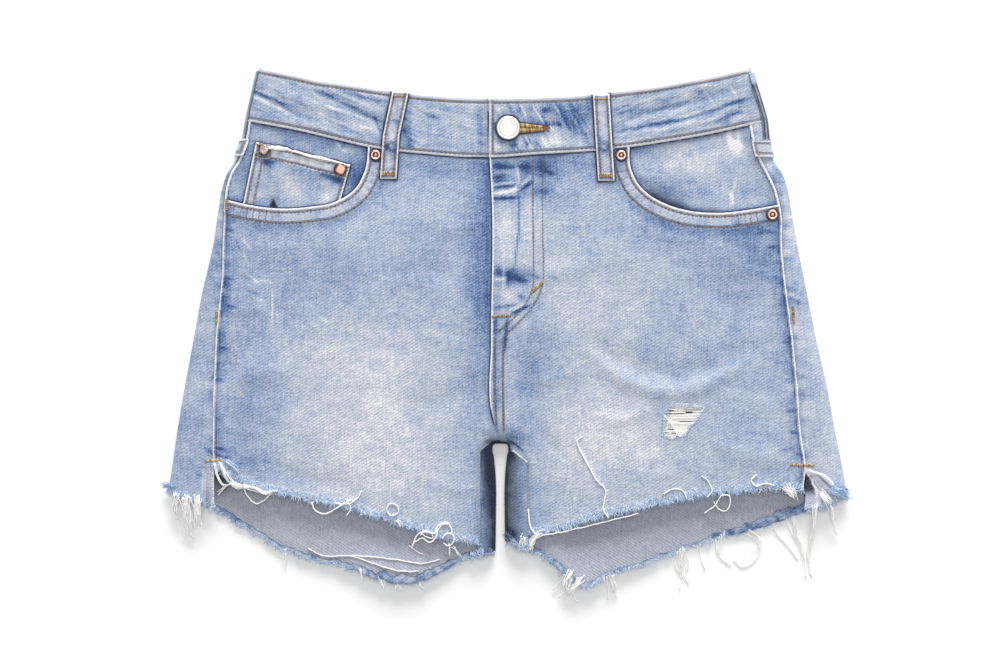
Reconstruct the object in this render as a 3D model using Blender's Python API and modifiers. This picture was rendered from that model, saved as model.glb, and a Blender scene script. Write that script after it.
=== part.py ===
"""Five-pocket denim shorts with cut-off hems, laid flat with the back on the surface.

The garment is a flattened tube: both back panels lie flat at z = 0, wrap round the side folds and the
inner thighs, and meet the front panels, which lie over them with a little air between.
Sizes are in millimetres. Across runs to +X from the middle, and down runs from the waist corners to -Y.
"""

import math

import bmesh
import bpy
import numpy as np
from mathutils import Matrix, Vector

NAME = "denim-shorts"
MM = 0.001

# Cloth and clearances
WALL = 1.2  # one layer of denim
BAND_WALL = 2.4  # a waistband is folded double over its interlining
FACING_WALL = 1.0
LOOP_WALL = 1.6
GAP = 0.3  # between pieces, at seams and between layers
SEAM_GAP = 0.6  # across a curved seam, whose two edges are cut into different chords
FRINGE_GAP = 0.6
FRAY = 3.0  # dense fray beyond the woven edge

# How the laid tube is rounded
FOLD_HEIGHT = 3.4  # the fold's outermost line above the surface
UNDER_ROLL = 4.2  # width over which the underside curls up to the fold
DOME = 1.2  # how much the middle of a leg stands over its rim
DOME_REACH = 90.0
DOME_FROM = 65.0
DOME_GROWS_OVER = 70.0
CREASE_RIM = (4.0, 22.0)  # creases grow over this distance in from a rim
BAND_RISE = 0.7  # the thicker waistband stands over the panels
WAIST_Y = 196.16  # the waist corners, half the laid length above the middle
FOLD_STEPS = 5

# Lap of the fly and of the waistband's end
BAND_LAP_AT = -11.5
BAND_UNDERLAP = 45.0
BAND_LAP_UP = 1.6
BAND_LAP_DOWN = 1.3
LAP_UNDER = 5.0
LAP_RISE = WALL + GAP + 0.1
LAP_ENDS = 250.0
FLY_RISE = 0.8
FLY_WIDTH = 37.0
FLY_CURVES_FROM = 150.0
FLY_CURVES_OVER = 46.0

# The space between the legs
SLOT_X = -3.2
SLOT_TOP = 276.0
SLOT_HALF = 5.6
SLOT_HALF_AT_HEM = 3.6
SLOT_NARROWS_OVER = 80.0
INSEAM_START = 2.6  # the inseam starts this far in from the crotch fold
LEG_END = 356.0
SLIT_TOP = 291.0
SLIT_OPENS = 2.2

# Columns of a front panel's grid as shares of its width: by the rolled rim, and by the lapped edge
RIM_COLUMNS = np.array([0, 2.2, 5.0, 8.5, 13.0]) / 200
LAP_COLUMNS = [0.945, 0.972, 1.0]
FLAT_COLUMNS = 21

# Yokes
YOKE_SIDE = 45.0
YOKE_CENTRE = 72.0
YOKE_HALF = 200.0

# Places on curved edges are found by repeating a guess, which starts here
SETTLE = 14
MIDWAY_DOWN = 200.0
LEG_DOWN = 320.0
CUT_UP_TO = -30.0  # a pocket's cutter passes the waist and the side by this much room
CUT_OUT_TO = 262.0


def table(columns, *rows):
    """A short table with named columns, the first of which is the place that the others are read at."""
    return dict(zip(columns.split(), np.array(rows, float).T))


OUTLINE = table(
    "down left right",
    (0, -182.0, 181.0),
    (14, -185.8, 184.5),
    (38, -190.4, 190.0),
    (52, -193.0, 192.0),
    (67, -198.4, 196.0),
    (76, -203.2, 201.0),
    (86, -207.4, 205.0),
    (103, -210.8, 209.3),
    (129, -216.0, 215.0),
    (165, -223.4, 223.4),
    (200, -229.3, 230.0),
    (236, -236.0, 237.5),
    (272, -242.7, 244.0),
    (298, -247.1, 248.4),
    (320, -251.0, 252.5),
)
SIDE_SEAM = table(  # how far the side seam lies in from the outline, on the front
    "down left right",
    (38, 3.0, 7.0),
    (66, 4.2, 5.2),
    (96, 4.2, 6.0),
    (125, 8.0, 10.0),
    (156, 13.0, 13.5),
    (195, 16.5, 16.6),
    (236, 21.5, 21.5),
    (270, 26.4, 25.0),
    (292, 29.8, 25.6),
    (325, 36.0, 31.0),
)
BAND = table(
    "across top bottom",
    (-194, -2.6, 37.8),
    (-183, 0.0, 39.6),
    (-151, 7.9, 45.6),
    (-127, 12.6, 51.3),
    (-103, 15.7, 57.0),
    (-59, 19.4, 62.6),
    (-13, 22.0, 65.4),
    (24, 21.2, 62.9),
    (65, 19.3, 60.4),
    (82, 17.8, 58.9),
    (120, 11.7, 53.4),
    (149, 6.3, 48.4),
    (181, 0.0, 41.4),
    (194, -2.8, 38.6),
)
FRONT_HEM = {
    -1: table(
        "across down",
        (-218, 294.0),
        (-201, 306.4),
        (-177, 314.3),
        (-143, 321.4),
        (-103, 331.6),
        (-68, 342.7),
        (-42, 350.5),
        (-14, 354.5),
    ),
    1: table(
        "across down",
        (12, 349.0),
        (28, 346.4),
        (49, 341.2),
        (77, 332.6),
        (98, 329.0),
        (133, 320.6),
        (168, 316.0),
        (190, 313.2),
        (222, 315.0),
    ),
}
BACK_HEM = {
    -1: table(
        "across down",
        (-256, 311.0),
        (-220, 323.5),
        (-194, 339.7),
        (-156, 357.4),
        (-129, 364.6),
        (-94, 376.8),
        (-76, 381.0),
        (-58, 375.3),
        (-33, 363.5),
        (-3, 357.0),
    ),
    1: table(
        "across down",
        (0, 349.5),
        (19, 356.8),
        (38, 368.0),
        (58, 384.5),
        (75, 376.2),
        (99, 368.2),
        (145, 351.6),
        (184, 340.0),
        (215, 328.6),
        (243, 319.4),
        (257, 314.4),
    ),
}
LOFT = table(  # height of the front's outer face, and the width that its rim rolls over
    "down crown roll",
    (0, 6.6, 5.4),
    (45, 7.0, 6.0),
    (75, 8.0, 9.5),
    (110, 9.2, 12.5),
    (200, 10.4, 14.0),
    (290, 10.4, 14.0),
    (356, 9.2, 13.0),
)
INSEAM = table(  # how far the inseam lies in from the inner fold, on the front
    "down left right",
    (276, 8.6, 13.0),
    (300, 10.6, 15.6),
    (330, 11.8, 17.0),
    (360, 12.6, 17.6),
)
LAP = table(  # the fly's lapped edge and the crotch seam below it
    "down edge rise",
    (60, -11.4, 1.0),
    (97, -9.4, 1.0),
    (204, -10.0, 1.0),
    (254, -9.6, 1.0),
    (266, -6.4, 0.45),
    (274, SLOT_X, 0.0),
)
FOLDS = table(  # soft creases of the front: a bowed line, its spread and its height
    "x0 d0 x1 d1 bow spread height",
    (61, 208, 180, 216, 27, 6.5, 1.5),
    (58, 197, 182, 203, 25, 8.0, -0.9),
    (70, 260, 108, 251, 3, 5.5, 0.9),
    (-176, 292, -118, 306, 5, 7.0, -0.9),
    (-205, 236, -150, 226, -6, 8.0, 0.8),
    (20, 150, 76, 138, 5, 7.0, 0.7),
    (-24, 176, -92, 158, 6, 8.0, 0.7),
    (-22, 236, -84, 246, -7, 8.0, -0.8),
    (150, 268, 204, 288, 7, 7.0, 0.8),
)
POCKET_EDGE = {
    -1: table(
        "across down",
        (-208, 96.0),
        (-189, 100.4),
        (-166, 103.0),
        (-145, 101.8),
        (-126, 98.2),
        (-110, 87.4),
        (-104, 76.0),
        (-100.6, 50.0),
    ),
    1: table(
        "across down",
        (92.6, 50.0),
        (94, 74.0),
        (99, 84.5),
        (106, 91.8),
        (120, 99.8),
        (135, 104.3),
        (158, 106.2),
        (186, 103.2),
        (206, 99.6),
    ),
}
RIP = ((123, 248), (148, 250), (142, 261), (134, 270), (123, 274), (117, 271), (118, 255))
BUTTON = {"across": 2.8, "down": 43.2, "width": 17.6, "height": 2.6, "shank": 6.4, "hole": 7.6}
BUTTONHOLE_END = 28.5
BUTTONHOLE_WIDTH = 1.6
RIVET = {"width": 7.4, "height": 1.5}
RIVET_SEAT = 0.5
RIVETS = {
    "rivet-pocket-left": (-95.6, 63.2, "panel"),
    "rivet-pocket-right": (86.6, 63.4, "panel"),
    "rivet-pocket-side": (198.6, 107.6, "panel"),
    "rivet-coin-outer": (-178.4, 59.4, "coin"),
    "rivet-coin-inner": (-121.6, 74.2, "coin"),
}
COIN = {  # corners of the coin pocket: its top edge, and its lower edge under the pocket's rim
    "top": ((-184.4, 54.0), (-114.4, 70.6)),
    "bottom": ((-196.0, 107.5), (-125.0, 107.5)),
}
FACING_UNDER = 11.0
FACING_PAST = 9.0
DEEPER_OVER = (72.0, 94.0)  # the left facing sinks here, to make room for the coin pocket under the rim
BELT_LOOPS = {
    "belt-loop-left": ((-77.0, 16.0), (-84.0, 49.0), (-86.4, 83.0)),
    "belt-loop-right": ((71.6, 18.0), (73.4, 50.0), (75.6, 84.0)),
}
LOOP_WIDTH = 12.4
LOOP_ARCH = 0.8
LOOP_LOWEST = -0.35  # where a side loop starts under the fold, in radians from its outermost line
TACK_OUT = 1.3
TACK_LONG = 14.0
BAND_ENDS_AT_SIDE = (40.0, 46.0)
SIDE_LOOPS = {"belt-loop-side-left": (-1, 0.5, 66.0, 0.35), "belt-loop-side-right": (1, 2.0, 68.0, 1.25)}

# Fringe: strands of frayed weft on a narrow strip beside each raw edge
STRIP = 1.1
STRIP_THICK = 0.8
STRAND_PITCH = 4.7
STRAND_WIDTH = 0.9
FRINGE = table(  # length of the strands along the hems
    "across length",
    (-252, 22.0),
    (-230, 27.0),
    (-214, 13.0),
    (-180, 6.0),
    (-120, 5.0),
    (-76, 9.0),
    (-40, 7.0),
    (0, 6.0),
    (45, 10.0),
    (62, 11.0),
    (110, 8.0),
    (160, 18.0),
    (200, 28.0),
    (218, 38.0),
    (236, 22.0),
    (250, 12.0),
)
FRONT_FRINGE_SHARE = 0.55
FRONT_DROOP = 0.25
STRAND_WAVE = 0.16  # the strands lean together in slow waves along the hem
STRAND_WAVE_LENGTH = 8.7
HANGS_AT = 24.0  # strands this long hang straight towards -Y rather than square to their edge
CORNER_LEAN = 1.5  # how much the strands at the hems' outer corners spread sideways
CORNER_AT = (236.0, 249.0)
LIES_AT = 0.15  # the back fringe lies this far clear of the surface


def along(rows, column, at):
    """Reads a column at any place, on the smooth curve through its rows."""
    places = next(iter(rows.values()))
    values = rows[column]
    slopes = np.gradient(values, places)
    at = np.asarray(at, float)
    i = np.clip(np.searchsorted(places, at) - 1, 0, len(places) - 2)
    run = places[i + 1] - places[i]
    t = np.clip((at - places[i]) / run, 0.0, 1.0)
    start = values[i] * (1 + 2 * t) * (1 - t) ** 2 + slopes[i] * run * t * (1 - t) ** 2
    end = values[i + 1] * t * t * (3 - 2 * t) + slopes[i + 1] * run * t * t * (t - 1)
    return start + end


def ramp(value, low, high):
    """Goes smoothly from 0 at low to 1 at high."""
    t = np.clip((np.asarray(value, float) - low) / (high - low), 0.0, 1.0)
    return t * t * (3 - 2 * t)


def outline(side, down):
    return along(OUTLINE, "left" if side < 0 else "right", down)


def side_seam(side, down):
    inset = along(SIDE_SEAM, "left" if side < 0 else "right", down)
    return outline(side, down) - side * inset


def slot_half(down):
    share = ramp(down, SLOT_TOP, SLOT_TOP + SLOT_NARROWS_OVER)
    return SLOT_HALF + (SLOT_HALF_AT_HEM - SLOT_HALF) * share


def slot_distance(x, down):
    """Distance from the fold round the space between the legs: round above its centre, straight below."""
    centre = SLOT_TOP + SLOT_HALF
    above = np.hypot(x - SLOT_X, down - centre) - SLOT_HALF
    beside = np.abs(x - SLOT_X) - slot_half(down)
    return np.where(down < centre, above, beside)


def crease(x, down):
    """Sum of the soft creases: each fades with the distance from its bowed line and towards its ends."""
    total = np.zeros_like(x)
    for x0, d0, x1, d1, bow, spread, height in zip(*FOLDS.values()):
        length = math.hypot(x1 - x0, d1 - d0)
        t = ((x - x0) * (x1 - x0) + (down - d0) * (d1 - d0)) / length**2
        away = ((down - d0) * (x1 - x0) - (x - x0) * (d1 - d0)) / length
        inside = np.clip(t, 0, 1)
        away = away - 4 * bow * inside * (1 - inside)
        ends = ramp(t, -0.12, 0.3) * (1 - ramp(t, 0.7, 1.12))
        total = total + height * ends * np.exp(-((away / spread) ** 2))
    return total


def top(x, down):
    """Height of the outer face of the laid front: an elliptic roll up from its rim, then a slow dome."""
    rim = np.minimum(x - outline(-1, down), outline(1, down) - x)
    rim = np.maximum(np.minimum(rim, slot_distance(x, down)), 0.0)
    roll = along(LOFT, "roll", down)
    t = np.clip(rim / roll, 0, 1)
    crown = along(LOFT, "crown", down)
    rise = (crown - FOLD_HEIGHT) * np.sqrt(1 - (1 - t) ** 2)
    inner = ramp(rim, roll, DOME_REACH) * ramp(down, DOME_FROM, DOME_FROM + DOME_GROWS_OVER)
    return FOLD_HEIGHT + rise + DOME * inner + crease(x, down) * ramp(rim, *CREASE_RIM)


def fly(x, down):
    """How far the right front stands over the left one: its lapped edge, and the fly facing's J under it."""
    into = x - along(LAP, "edge", down)
    strength = along(LAP, "rise", down)
    curved = np.clip((down - FLY_CURVES_FROM) / FLY_CURVES_OVER, 0, 1)
    width = FLY_WIDTH * np.sqrt(1 - curved**2)
    lap = LAP_RISE * (1 - ramp(into, LAP_UNDER + 3, LAP_UNDER + 12))
    facing = FLY_RISE * (1 - ramp(into, width - 3, width + 4))
    return strength * np.maximum(lap, facing)


def places(x, down, z):
    return np.stack(np.broadcast_arrays(x, WAIST_Y - down, z), axis=-1).astype(float)


def lifted(x, down, lift, height=top):
    """Points of a height field moved out along its slope by lift."""
    step = 0.4
    x, down, lift = np.broadcast_arrays(
        np.asarray(x, float), np.asarray(down, float), np.asarray(lift, float)
    )
    slope_x = (height(x + step, down) - height(x - step, down)) / (2 * step)
    slope_y = (height(x, down - step) - height(x, down + step)) / (2 * step)
    normal = np.stack([-slope_x, -slope_y, np.ones_like(slope_x)], axis=-1)
    normal /= np.linalg.norm(normal, axis=-1, keepdims=True)
    return places(x, down, height(x, down)) + normal * lift[..., None]


def band_top(x):
    return along(BAND, "top", x)


def band_bottom(x):
    return along(BAND, "bottom", x)


def front_edge(side, x):
    return along(FRONT_HEM[side], "down", x) - FRAY


def back_edge(side, x):
    return along(BACK_HEM[side], "down", x) - FRAY


def yoke_line(x):
    share = np.clip(np.abs(x) / YOKE_HALF, 0, 1)
    return band_bottom(x) + YOKE_CENTRE + (YOKE_SIDE - YOKE_CENTRE) * share


def row_down(v, x, upper, lower):
    return upper(x) + (lower(x) - upper(x)) * v


def beside_fold(side, inward, v, upper, lower):
    """The place at a distance in from the outline, on the row v between two edges."""
    down = np.full(np.broadcast(inward, v).shape, MIDWAY_DOWN)
    for _ in range(SETTLE):
        x = outline(side, down) - side * inward
        down = row_down(v, x, upper, lower)
    return x, down


def beside_slot(side, inward, v, upper, lower):
    """The place at a distance from the inner fold, on the row v between two edges."""
    down = np.full(np.broadcast(inward, v).shape, LEG_DOWN)
    for _ in range(SETTLE):
        x = SLOT_X + side * (slot_half(down) + inward + GAP / 2)
        down = row_down(v, x, upper, lower)
    return x, down


def round_slot(side, inward, turn):
    """The place at a distance from the crotch's round fold, turned from its top towards the leg."""
    radius = SLOT_HALF + inward
    x = SLOT_X + side * (radius * np.sin(turn) + GAP / 2)
    return x, SLOT_TOP + SLOT_HALF - radius * np.cos(turn)


def quarter(count):
    """Angles of a quarter turn, in equal steps."""
    return np.linspace(0, math.pi / 2, count + 1)


def under_curl(count, roll=UNDER_ROLL, height=FOLD_HEIGHT):
    """Distances in from the fold and heights of the underside's curl, from the fold to the flat."""
    a = quarter(count)
    return roll * (1 - np.cos(a)), height * (1 - np.sin(a))


def collection(name):
    made = bpy.data.collections.new(name)
    bpy.context.scene.collection.children.link(made)
    return made


def material(name, colour, roughness=0.85, metallic=0.0):
    made = bpy.data.materials.new(name)
    made.use_nodes = True
    made.diffuse_color = (*colour, 1)
    shader = made.node_tree.nodes["Principled BSDF"]
    shader.inputs["Base Color"].default_value = (*colour, 1)
    shader.inputs["Roughness"].default_value = roughness
    shader.inputs["Metallic"].default_value = metallic
    return made


def add_object(name, mesh, colour, group):
    made = bpy.data.objects.new(name, mesh)
    group.objects.link(made)
    if colour:
        mesh.materials.append(colour)
    return made


def cloth(name, grids, wall, colour, flip=False):
    """An open surface of one or more grids that share points, given its wall inwards by Solidify."""
    build = bmesh.new()
    for grid in grids:
        corners = [[build.verts.new(Vector(p) * MM) for p in row] for row in grid]
        for upper, lower in zip(corners, corners[1:]):
            for i in range(len(upper) - 1):
                face = [upper[i], lower[i], lower[i + 1], upper[i + 1]]
                build.faces.new(face[::-1] if flip else face)
    bmesh.ops.remove_doubles(build, verts=build.verts, dist=0.00002)
    mesh = bpy.data.meshes.new(name)
    build.to_mesh(mesh)
    build.free()
    made = add_object(name, mesh, colour, PARTS)
    shell = made.modifiers.new("wall", "SOLIDIFY")
    shell.thickness = wall * MM
    shell.offset = -1.0
    shell.use_even_offset = True
    shell.use_quality_normals = True
    return made


def prism(name, outline_points, low=-20.0, high=60.0):
    """A hidden upright cutter over an outline given as across and down."""
    build = bmesh.new()
    ring = [build.verts.new(Vector(places(x, d, low)) * MM) for x, d in outline_points]
    floor = build.faces.new(ring)
    raised = bmesh.ops.extrude_face_region(build, geom=[floor])["geom"]
    moved = [v for v in raised if isinstance(v, bmesh.types.BMVert)]
    bmesh.ops.translate(build, verts=moved, vec=Vector((0, 0, (high - low) * MM)))
    bmesh.ops.recalc_face_normals(build, faces=build.faces)
    mesh = bpy.data.meshes.new(name)
    build.to_mesh(mesh)
    build.free()
    made = add_object(name, mesh, None, CUTTERS)
    made.hide_render = True
    made.display_type = "WIRE"
    return made


def cut(target, cutter):
    change = target.modifiers.new("cut " + cutter.name, "BOOLEAN")
    change.operation = "DIFFERENCE"
    change.solver = "EXACT"
    change.object = cutter


def turned(name, profile, colour, steps):
    """A turned piece: a closed half profile carried round the upright axis by Screw."""
    mesh = bpy.data.meshes.new(name)
    mesh.from_pydata(
        [(r * MM, 0, z * MM) for r, z in profile],
        [(i, i + 1) for i in range(len(profile) - 1)],
        [],
    )
    made = add_object(name, mesh, colour, PARTS)
    spin = made.modifiers.new("turn", "SCREW")
    spin.steps = steps
    spin.render_steps = steps
    spin.use_merge_vertices = True
    spin.merge_threshold = 0.00001
    spin.use_smooth_shade = True
    return made


def inseam(side, down):
    return along(INSEAM, "left" if side < 0 else "right", down)


def front_inner(side, rows_above, rows_below):
    """Inner edge of a front panel: down its centre seam, round the crotch, then down the inseam."""
    start = band_bottom(SLOT_X) + GAP
    above = np.linspace(start, SLOT_TOP - INSEAM_START, rows_above + 1)[:-1]
    x_above = along(LAP, "edge", above)
    if side < 0:
        x_above = x_above + np.where(above < LAP_ENDS, LAP_UNDER, -GAP)
    turn = quarter(3)
    inward = INSEAM_START + (inseam(side, SLOT_TOP) - INSEAM_START) * (turn / turn[-1]) ** 3
    x_turn, d_turn = round_slot(side, inward, turn)
    share = np.linspace(0, 1, rows_below + 1)[1:]
    x_end = SLOT_X + side * (SLOT_HALF_AT_HEM + inseam(side, LEG_END))
    below = d_turn[-1] + (front_edge(side, x_end) - d_turn[-1]) * share
    x_below = SLOT_X + side * (slot_half(below) + inseam(side, below) + GAP / 2)
    return np.concatenate([x_above, x_turn, x_below]), np.concatenate([above, d_turn, below])


def front_panel(side, name):
    """Grid from the side seam to the centre seam, inseam and hem, finer where the rim rolls down."""
    x_in, d_in = front_inner(side, 14, 6)

    def upper(x):
        return band_bottom(x) + GAP

    def lower(x):
        return front_edge(side, x)

    v_in = (d_in - upper(x_in)) / (lower(x_in) - upper(x_in))
    v_in[0], v_in[-1] = 0.0, 1.0
    v_out = np.linspace(0, 1, len(x_in))
    down = np.linspace(band_bottom(0), LEG_DOWN, len(v_out))
    for _ in range(SETTLE):
        slit = SLIT_OPENS * ramp(down, SLIT_TOP, SLIT_TOP + 20)
        x_out = side_seam(side, down) - side * (SEAM_GAP / 2 + slit)
        down = row_down(v_out, x_out, upper, lower)
    share = np.concatenate([RIM_COLUMNS, np.linspace(RIM_COLUMNS[-1], 1.0, 16)[1:-2], LAP_COLUMNS])
    x = x_out[:, None] + (x_in - x_out)[:, None] * share
    v = v_out[:, None] + (v_in - v_out)[:, None] * share
    down = row_down(v, x, upper, lower)
    lift = fly(x, down) if side > 0 else 0.0
    made = cloth(name, [lifted(x, down, lift)], WALL, DENIM, flip=side > 0)
    cut(made, pocket_cutter(side))
    if side > 0:
        cut(made, prism("rip-cut", RIP))
    return made


def pocket_cutter(side):
    """A cutter over the pocket's opening: along its curved rim, then round outside the side and waist."""
    edge = POCKET_EDGE[side]
    across = np.linspace(edge["across"][0], edge["across"][-1], 26)
    rim = list(zip(across, along(edge, "down", across)))
    if side < 0:
        past = [(rim[-1][0], CUT_UP_TO), (-CUT_OUT_TO, CUT_UP_TO), (-CUT_OUT_TO, rim[0][1] - 1)]
        return prism("pocket-cut-left", rim + past)
    past = [(CUT_OUT_TO, rim[-1][1] - 1), (CUT_OUT_TO, CUT_UP_TO), (rim[0][0], CUT_UP_TO)]
    return prism("pocket-cut-right", rim + past)


def back_rows(side, v, upper, lower, columns):
    """Rows of a back piece from its side seam on the front, round the side fold, to the flat underside."""
    inset = np.zeros_like(v)
    for _ in range(6):
        x, down = beside_fold(side, inset, v, upper, lower)
        inset = np.abs(outline(side, down) - side_seam(side, down)) - SEAM_GAP / 2
    strip = inset[:, None] * np.linspace(1, 0, columns + 1) ** 2
    x_strip, d_strip = beside_fold(side, strip, v[:, None], upper, lower)
    over = places(x_strip, d_strip, top(x_strip, d_strip))
    inward, height = under_curl(FOLD_STEPS)
    x_curl, d_curl = beside_fold(side, inward, v[:, None], upper, lower)
    under = places(x_curl, d_curl, np.broadcast_to(height, x_curl.shape))
    return np.concatenate([over, under[:, 1:]], axis=1), x_curl[:, -1]


def flat_rows(x_out, v_out, x_in, v_in, upper, lower, columns):
    """The flat stretch of a back piece, between its curl at the side and its inner edge."""
    share = np.linspace(0, 1, columns + 1)
    x = x_out[:, None] + (x_in - x_out)[:, None] * share
    v = v_out[:, None] + (v_in - v_out)[:, None] * share
    return places(x, row_down(v, x, upper, lower), np.zeros_like(x))


def yoke(side, name):
    """Back yoke: from the waistband down to its slanting seam, round the side fold to the side seam."""

    def upper(x):
        return band_bottom(x) + GAP

    v = np.linspace(0, 1, 5)
    rows, x_out = back_rows(side, v, upper, yoke_line, 4)
    x_in = np.full_like(v, SLOT_X + side * GAP / 2)
    flat = flat_rows(x_out, v, x_in, v, upper, yoke_line, FLAT_COLUMNS)
    return cloth(name, [np.concatenate([rows, flat[:, 1:]], axis=1)], WALL, DENIM, flip=side < 0)


def back_panel(side, name):
    """Back panel: side strip, side fold, flat underside, then the inner thigh's fold up to the inseam."""

    def upper(x):
        return yoke_line(x) + GAP

    def lower(x):
        return back_edge(side, x)

    above = np.linspace(upper(SLOT_X), SLOT_TOP - UNDER_ROLL, 8)[:-1]
    x_above = np.full_like(above, SLOT_X + side * GAP / 2)
    turn = quarter(3)
    x_turn, d_turn = round_slot(side, UNDER_ROLL, turn)
    x_last = SLOT_X + side * (slot_half(SLOT_TOP + SLOT_HALF) + UNDER_ROLL + GAP / 2)
    v_turn = (d_turn - upper(x_turn)) / (lower(x_turn) - upper(x_turn))
    v_last = (SLOT_TOP + SLOT_HALF - upper(x_last)) / (lower(x_last) - upper(x_last))
    v_below = np.linspace(v_last, 1, 6)[1:]
    x_below, d_below = beside_slot(side, UNDER_ROLL, v_below, upper, lower)
    x_in = np.concatenate([x_above, x_turn, x_below])
    v_in = (above - upper(x_above)) / (lower(x_above) - upper(x_above))
    v_in = np.concatenate([v_in, v_turn, v_below])
    v_in[0] = 0.0
    v_out = np.linspace(0, 1, len(v_in))
    rows, x_out = back_rows(side, v_out, upper, lower, 6)
    flat = flat_rows(x_out, v_out, x_in, v_in, upper, lower, FLAT_COLUMNS)

    inward, height = under_curl(FOLD_STEPS)
    spread = np.linspace(0, 1, 6) ** 2
    seam = INSEAM_START + (inseam(side, SLOT_TOP) - INSEAM_START) * (turn / turn[-1]) ** 3
    strip = (seam - SEAM_GAP)[:, None] * spread
    x_a, d_a = round_slot(side, inward[::-1], turn[:, None])
    x_b, d_b = round_slot(side, strip, turn[:, None])
    for _ in range(6):
        inside = (inseam(side, d_below) - SEAM_GAP)[:, None] * spread
        x_c, d_c = beside_slot(side, inside, v_below[:, None], upper, lower)
        d_below = d_c[:, -1]
    x_d, d_d = beside_slot(side, inward[::-1], v_below[:, None], upper, lower)
    curl = places(np.concatenate([x_a, x_d]), np.concatenate([d_a, d_d]),
                  np.broadcast_to(height[::-1], (len(x_a) + len(x_d), len(inward))))
    x_over, d_over = np.concatenate([x_b, x_c]), np.concatenate([d_b, d_c])
    over = places(x_over, d_over, top(x_over, d_over))
    thigh = np.concatenate([curl, over[:, 1:]], axis=1)
    whole = np.concatenate([rows, flat[:, 1:]], axis=1)
    return cloth(name, [whole, thigh], WALL, DENIM, flip=side < 0)


def band_face(x, down, lap):
    """Height of the waistband's outer face, with its lapped or its hidden end."""
    rim = np.minimum(x - outline(-1, down), outline(1, down) - x)
    return top(x, down) + BAND_RISE * ramp(rim, 0, 4) + lap(x)


def lap_over(x):
    end = BAND_LAP_AT + BAND_UNDERLAP
    return BAND_LAP_UP * (1 - ramp(x, end + 2, end + 20))


def lap_under(x):
    return -BAND_LAP_DOWN * ramp(x, BAND_LAP_AT - 20, BAND_LAP_AT - 2)


def waistband(name):
    """One band round the waist, from its hidden end in front, round both folds, to its lapped end."""
    v = np.linspace(0, 1, 4)[:, None]
    spread = np.linspace(0, 1, 17)

    def front(start_x, side, lap):
        """Front stretch on one side, from its end to the top of its fold and down to the fold's line."""
        down = band_top(0) + np.zeros((len(v), 1))
        for _ in range(SETTLE):
            x_rim = outline(side, down) - side * along(LOFT, "roll", down)
            down = row_down(v, x_rim, band_top, band_bottom)
        x = start_x + (x_rim - start_x) * spread
        flat = row_down(v, x, band_top, band_bottom)
        roll = along(LOFT, "roll", down) * (1 - np.sin(quarter(FOLD_STEPS)))
        x_roll, d_roll = beside_fold(side, roll, v, band_top, band_bottom)
        face = places(x, flat, band_face(x, flat, lap))
        return np.concatenate([face, places(x_roll, d_roll, band_face(x_roll, d_roll, lap))[:, 1:]], axis=1)

    inward, height = under_curl(FOLD_STEPS)
    curls = []
    for side in (-1, 1):
        x, down = beside_fold(side, inward, v, band_top, band_bottom)
        curls.append(places(x, down, np.broadcast_to(height, x.shape)))
    left, right = curls
    x = left[:, -1, :1] + (right[:, -1, :1] - left[:, -1, :1]) * np.linspace(0, 1, 13)
    under = places(x, row_down(v, x, band_top, band_bottom), np.zeros_like(x))
    ring = [front(BAND_LAP_AT + BAND_UNDERLAP, -1, lap_under), left[:, 1:], under[:, 1:-1]]
    ring += [right[:, ::-1], front(BAND_LAP_AT, 1, lap_over)[:, ::-1][:, 1:]]
    made = cloth(name, [np.concatenate(ring, axis=1)], BAND_WALL, DENIM, flip=True)
    cut(made, buttonhole_cutter())
    return made


def buttonhole_cutter():
    """A keyhole: an eye round the shank and a narrow slot, through the lapped end alone."""
    radius, half = BUTTON["hole"] / 2, BUTTONHOLE_WIDTH / 2
    away = math.asin(half / radius)
    turn = np.linspace(away, 2 * math.pi - away, 15)
    eye = [(BUTTON["across"] + radius * math.cos(a), BUTTON["down"] + radius * math.sin(a)) for a in turn]
    slot = [(BUTTONHOLE_END, BUTTON["down"] - half), (BUTTONHOLE_END, BUTTON["down"] + half)]
    hidden = top(np.array([BUTTON["across"]]), np.array([BUTTON["down"]]))[0] + BAND_RISE - BAND_LAP_DOWN
    between = (BAND_LAP_UP + BAND_LAP_DOWN - BAND_WALL) / 2
    return prism("buttonhole-cut", eye + slot, low=hidden + between)


def facing_lift(side, down):
    """How far the facing lies in from the front's outer face: deeper where a coin pocket lies on it."""
    deeper = (FACING_WALL + GAP) * ramp(down, *DEEPER_OVER) if side < 0 else 0.0
    return -(WALL + GAP) - deeper


def facing(side, name):
    """Pocket facing under the curved opening, from the waistband and side seam to under the rim."""
    edge = POCKET_EDGE[side]
    end = edge["across"][-1 if side < 0 else 0] - side * (FACING_PAST - 1.5)

    def upper(x):
        return band_bottom(x) + GAP

    def lower(x):
        low = along(edge, "down", x + side * FACING_PAST) + FACING_UNDER
        return np.maximum(low, upper(x) + 5.0)

    v = np.linspace(0, 1, 8)
    down = band_bottom(0) + 40 * v
    for _ in range(SETTLE):
        x_out = side_seam(side, down) - side * GAP * 1.5
        down = row_down(v, x_out, upper, lower)
    share = np.array([0, 0.02, 0.05, 0.1, 0.18, 0.3, 0.43, 0.56, 0.69, 0.81, 0.91, 1.0])
    x = x_out[:, None] + (end - x_out)[:, None] * share
    down = row_down(v[:, None], x, upper, lower)
    return cloth(name, [lifted(x, down, facing_lift(side, down))], FACING_WALL, DENIM, flip=side > 0)


def coin_lift(down):
    return facing_lift(-1, down) + GAP + FACING_WALL


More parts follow.
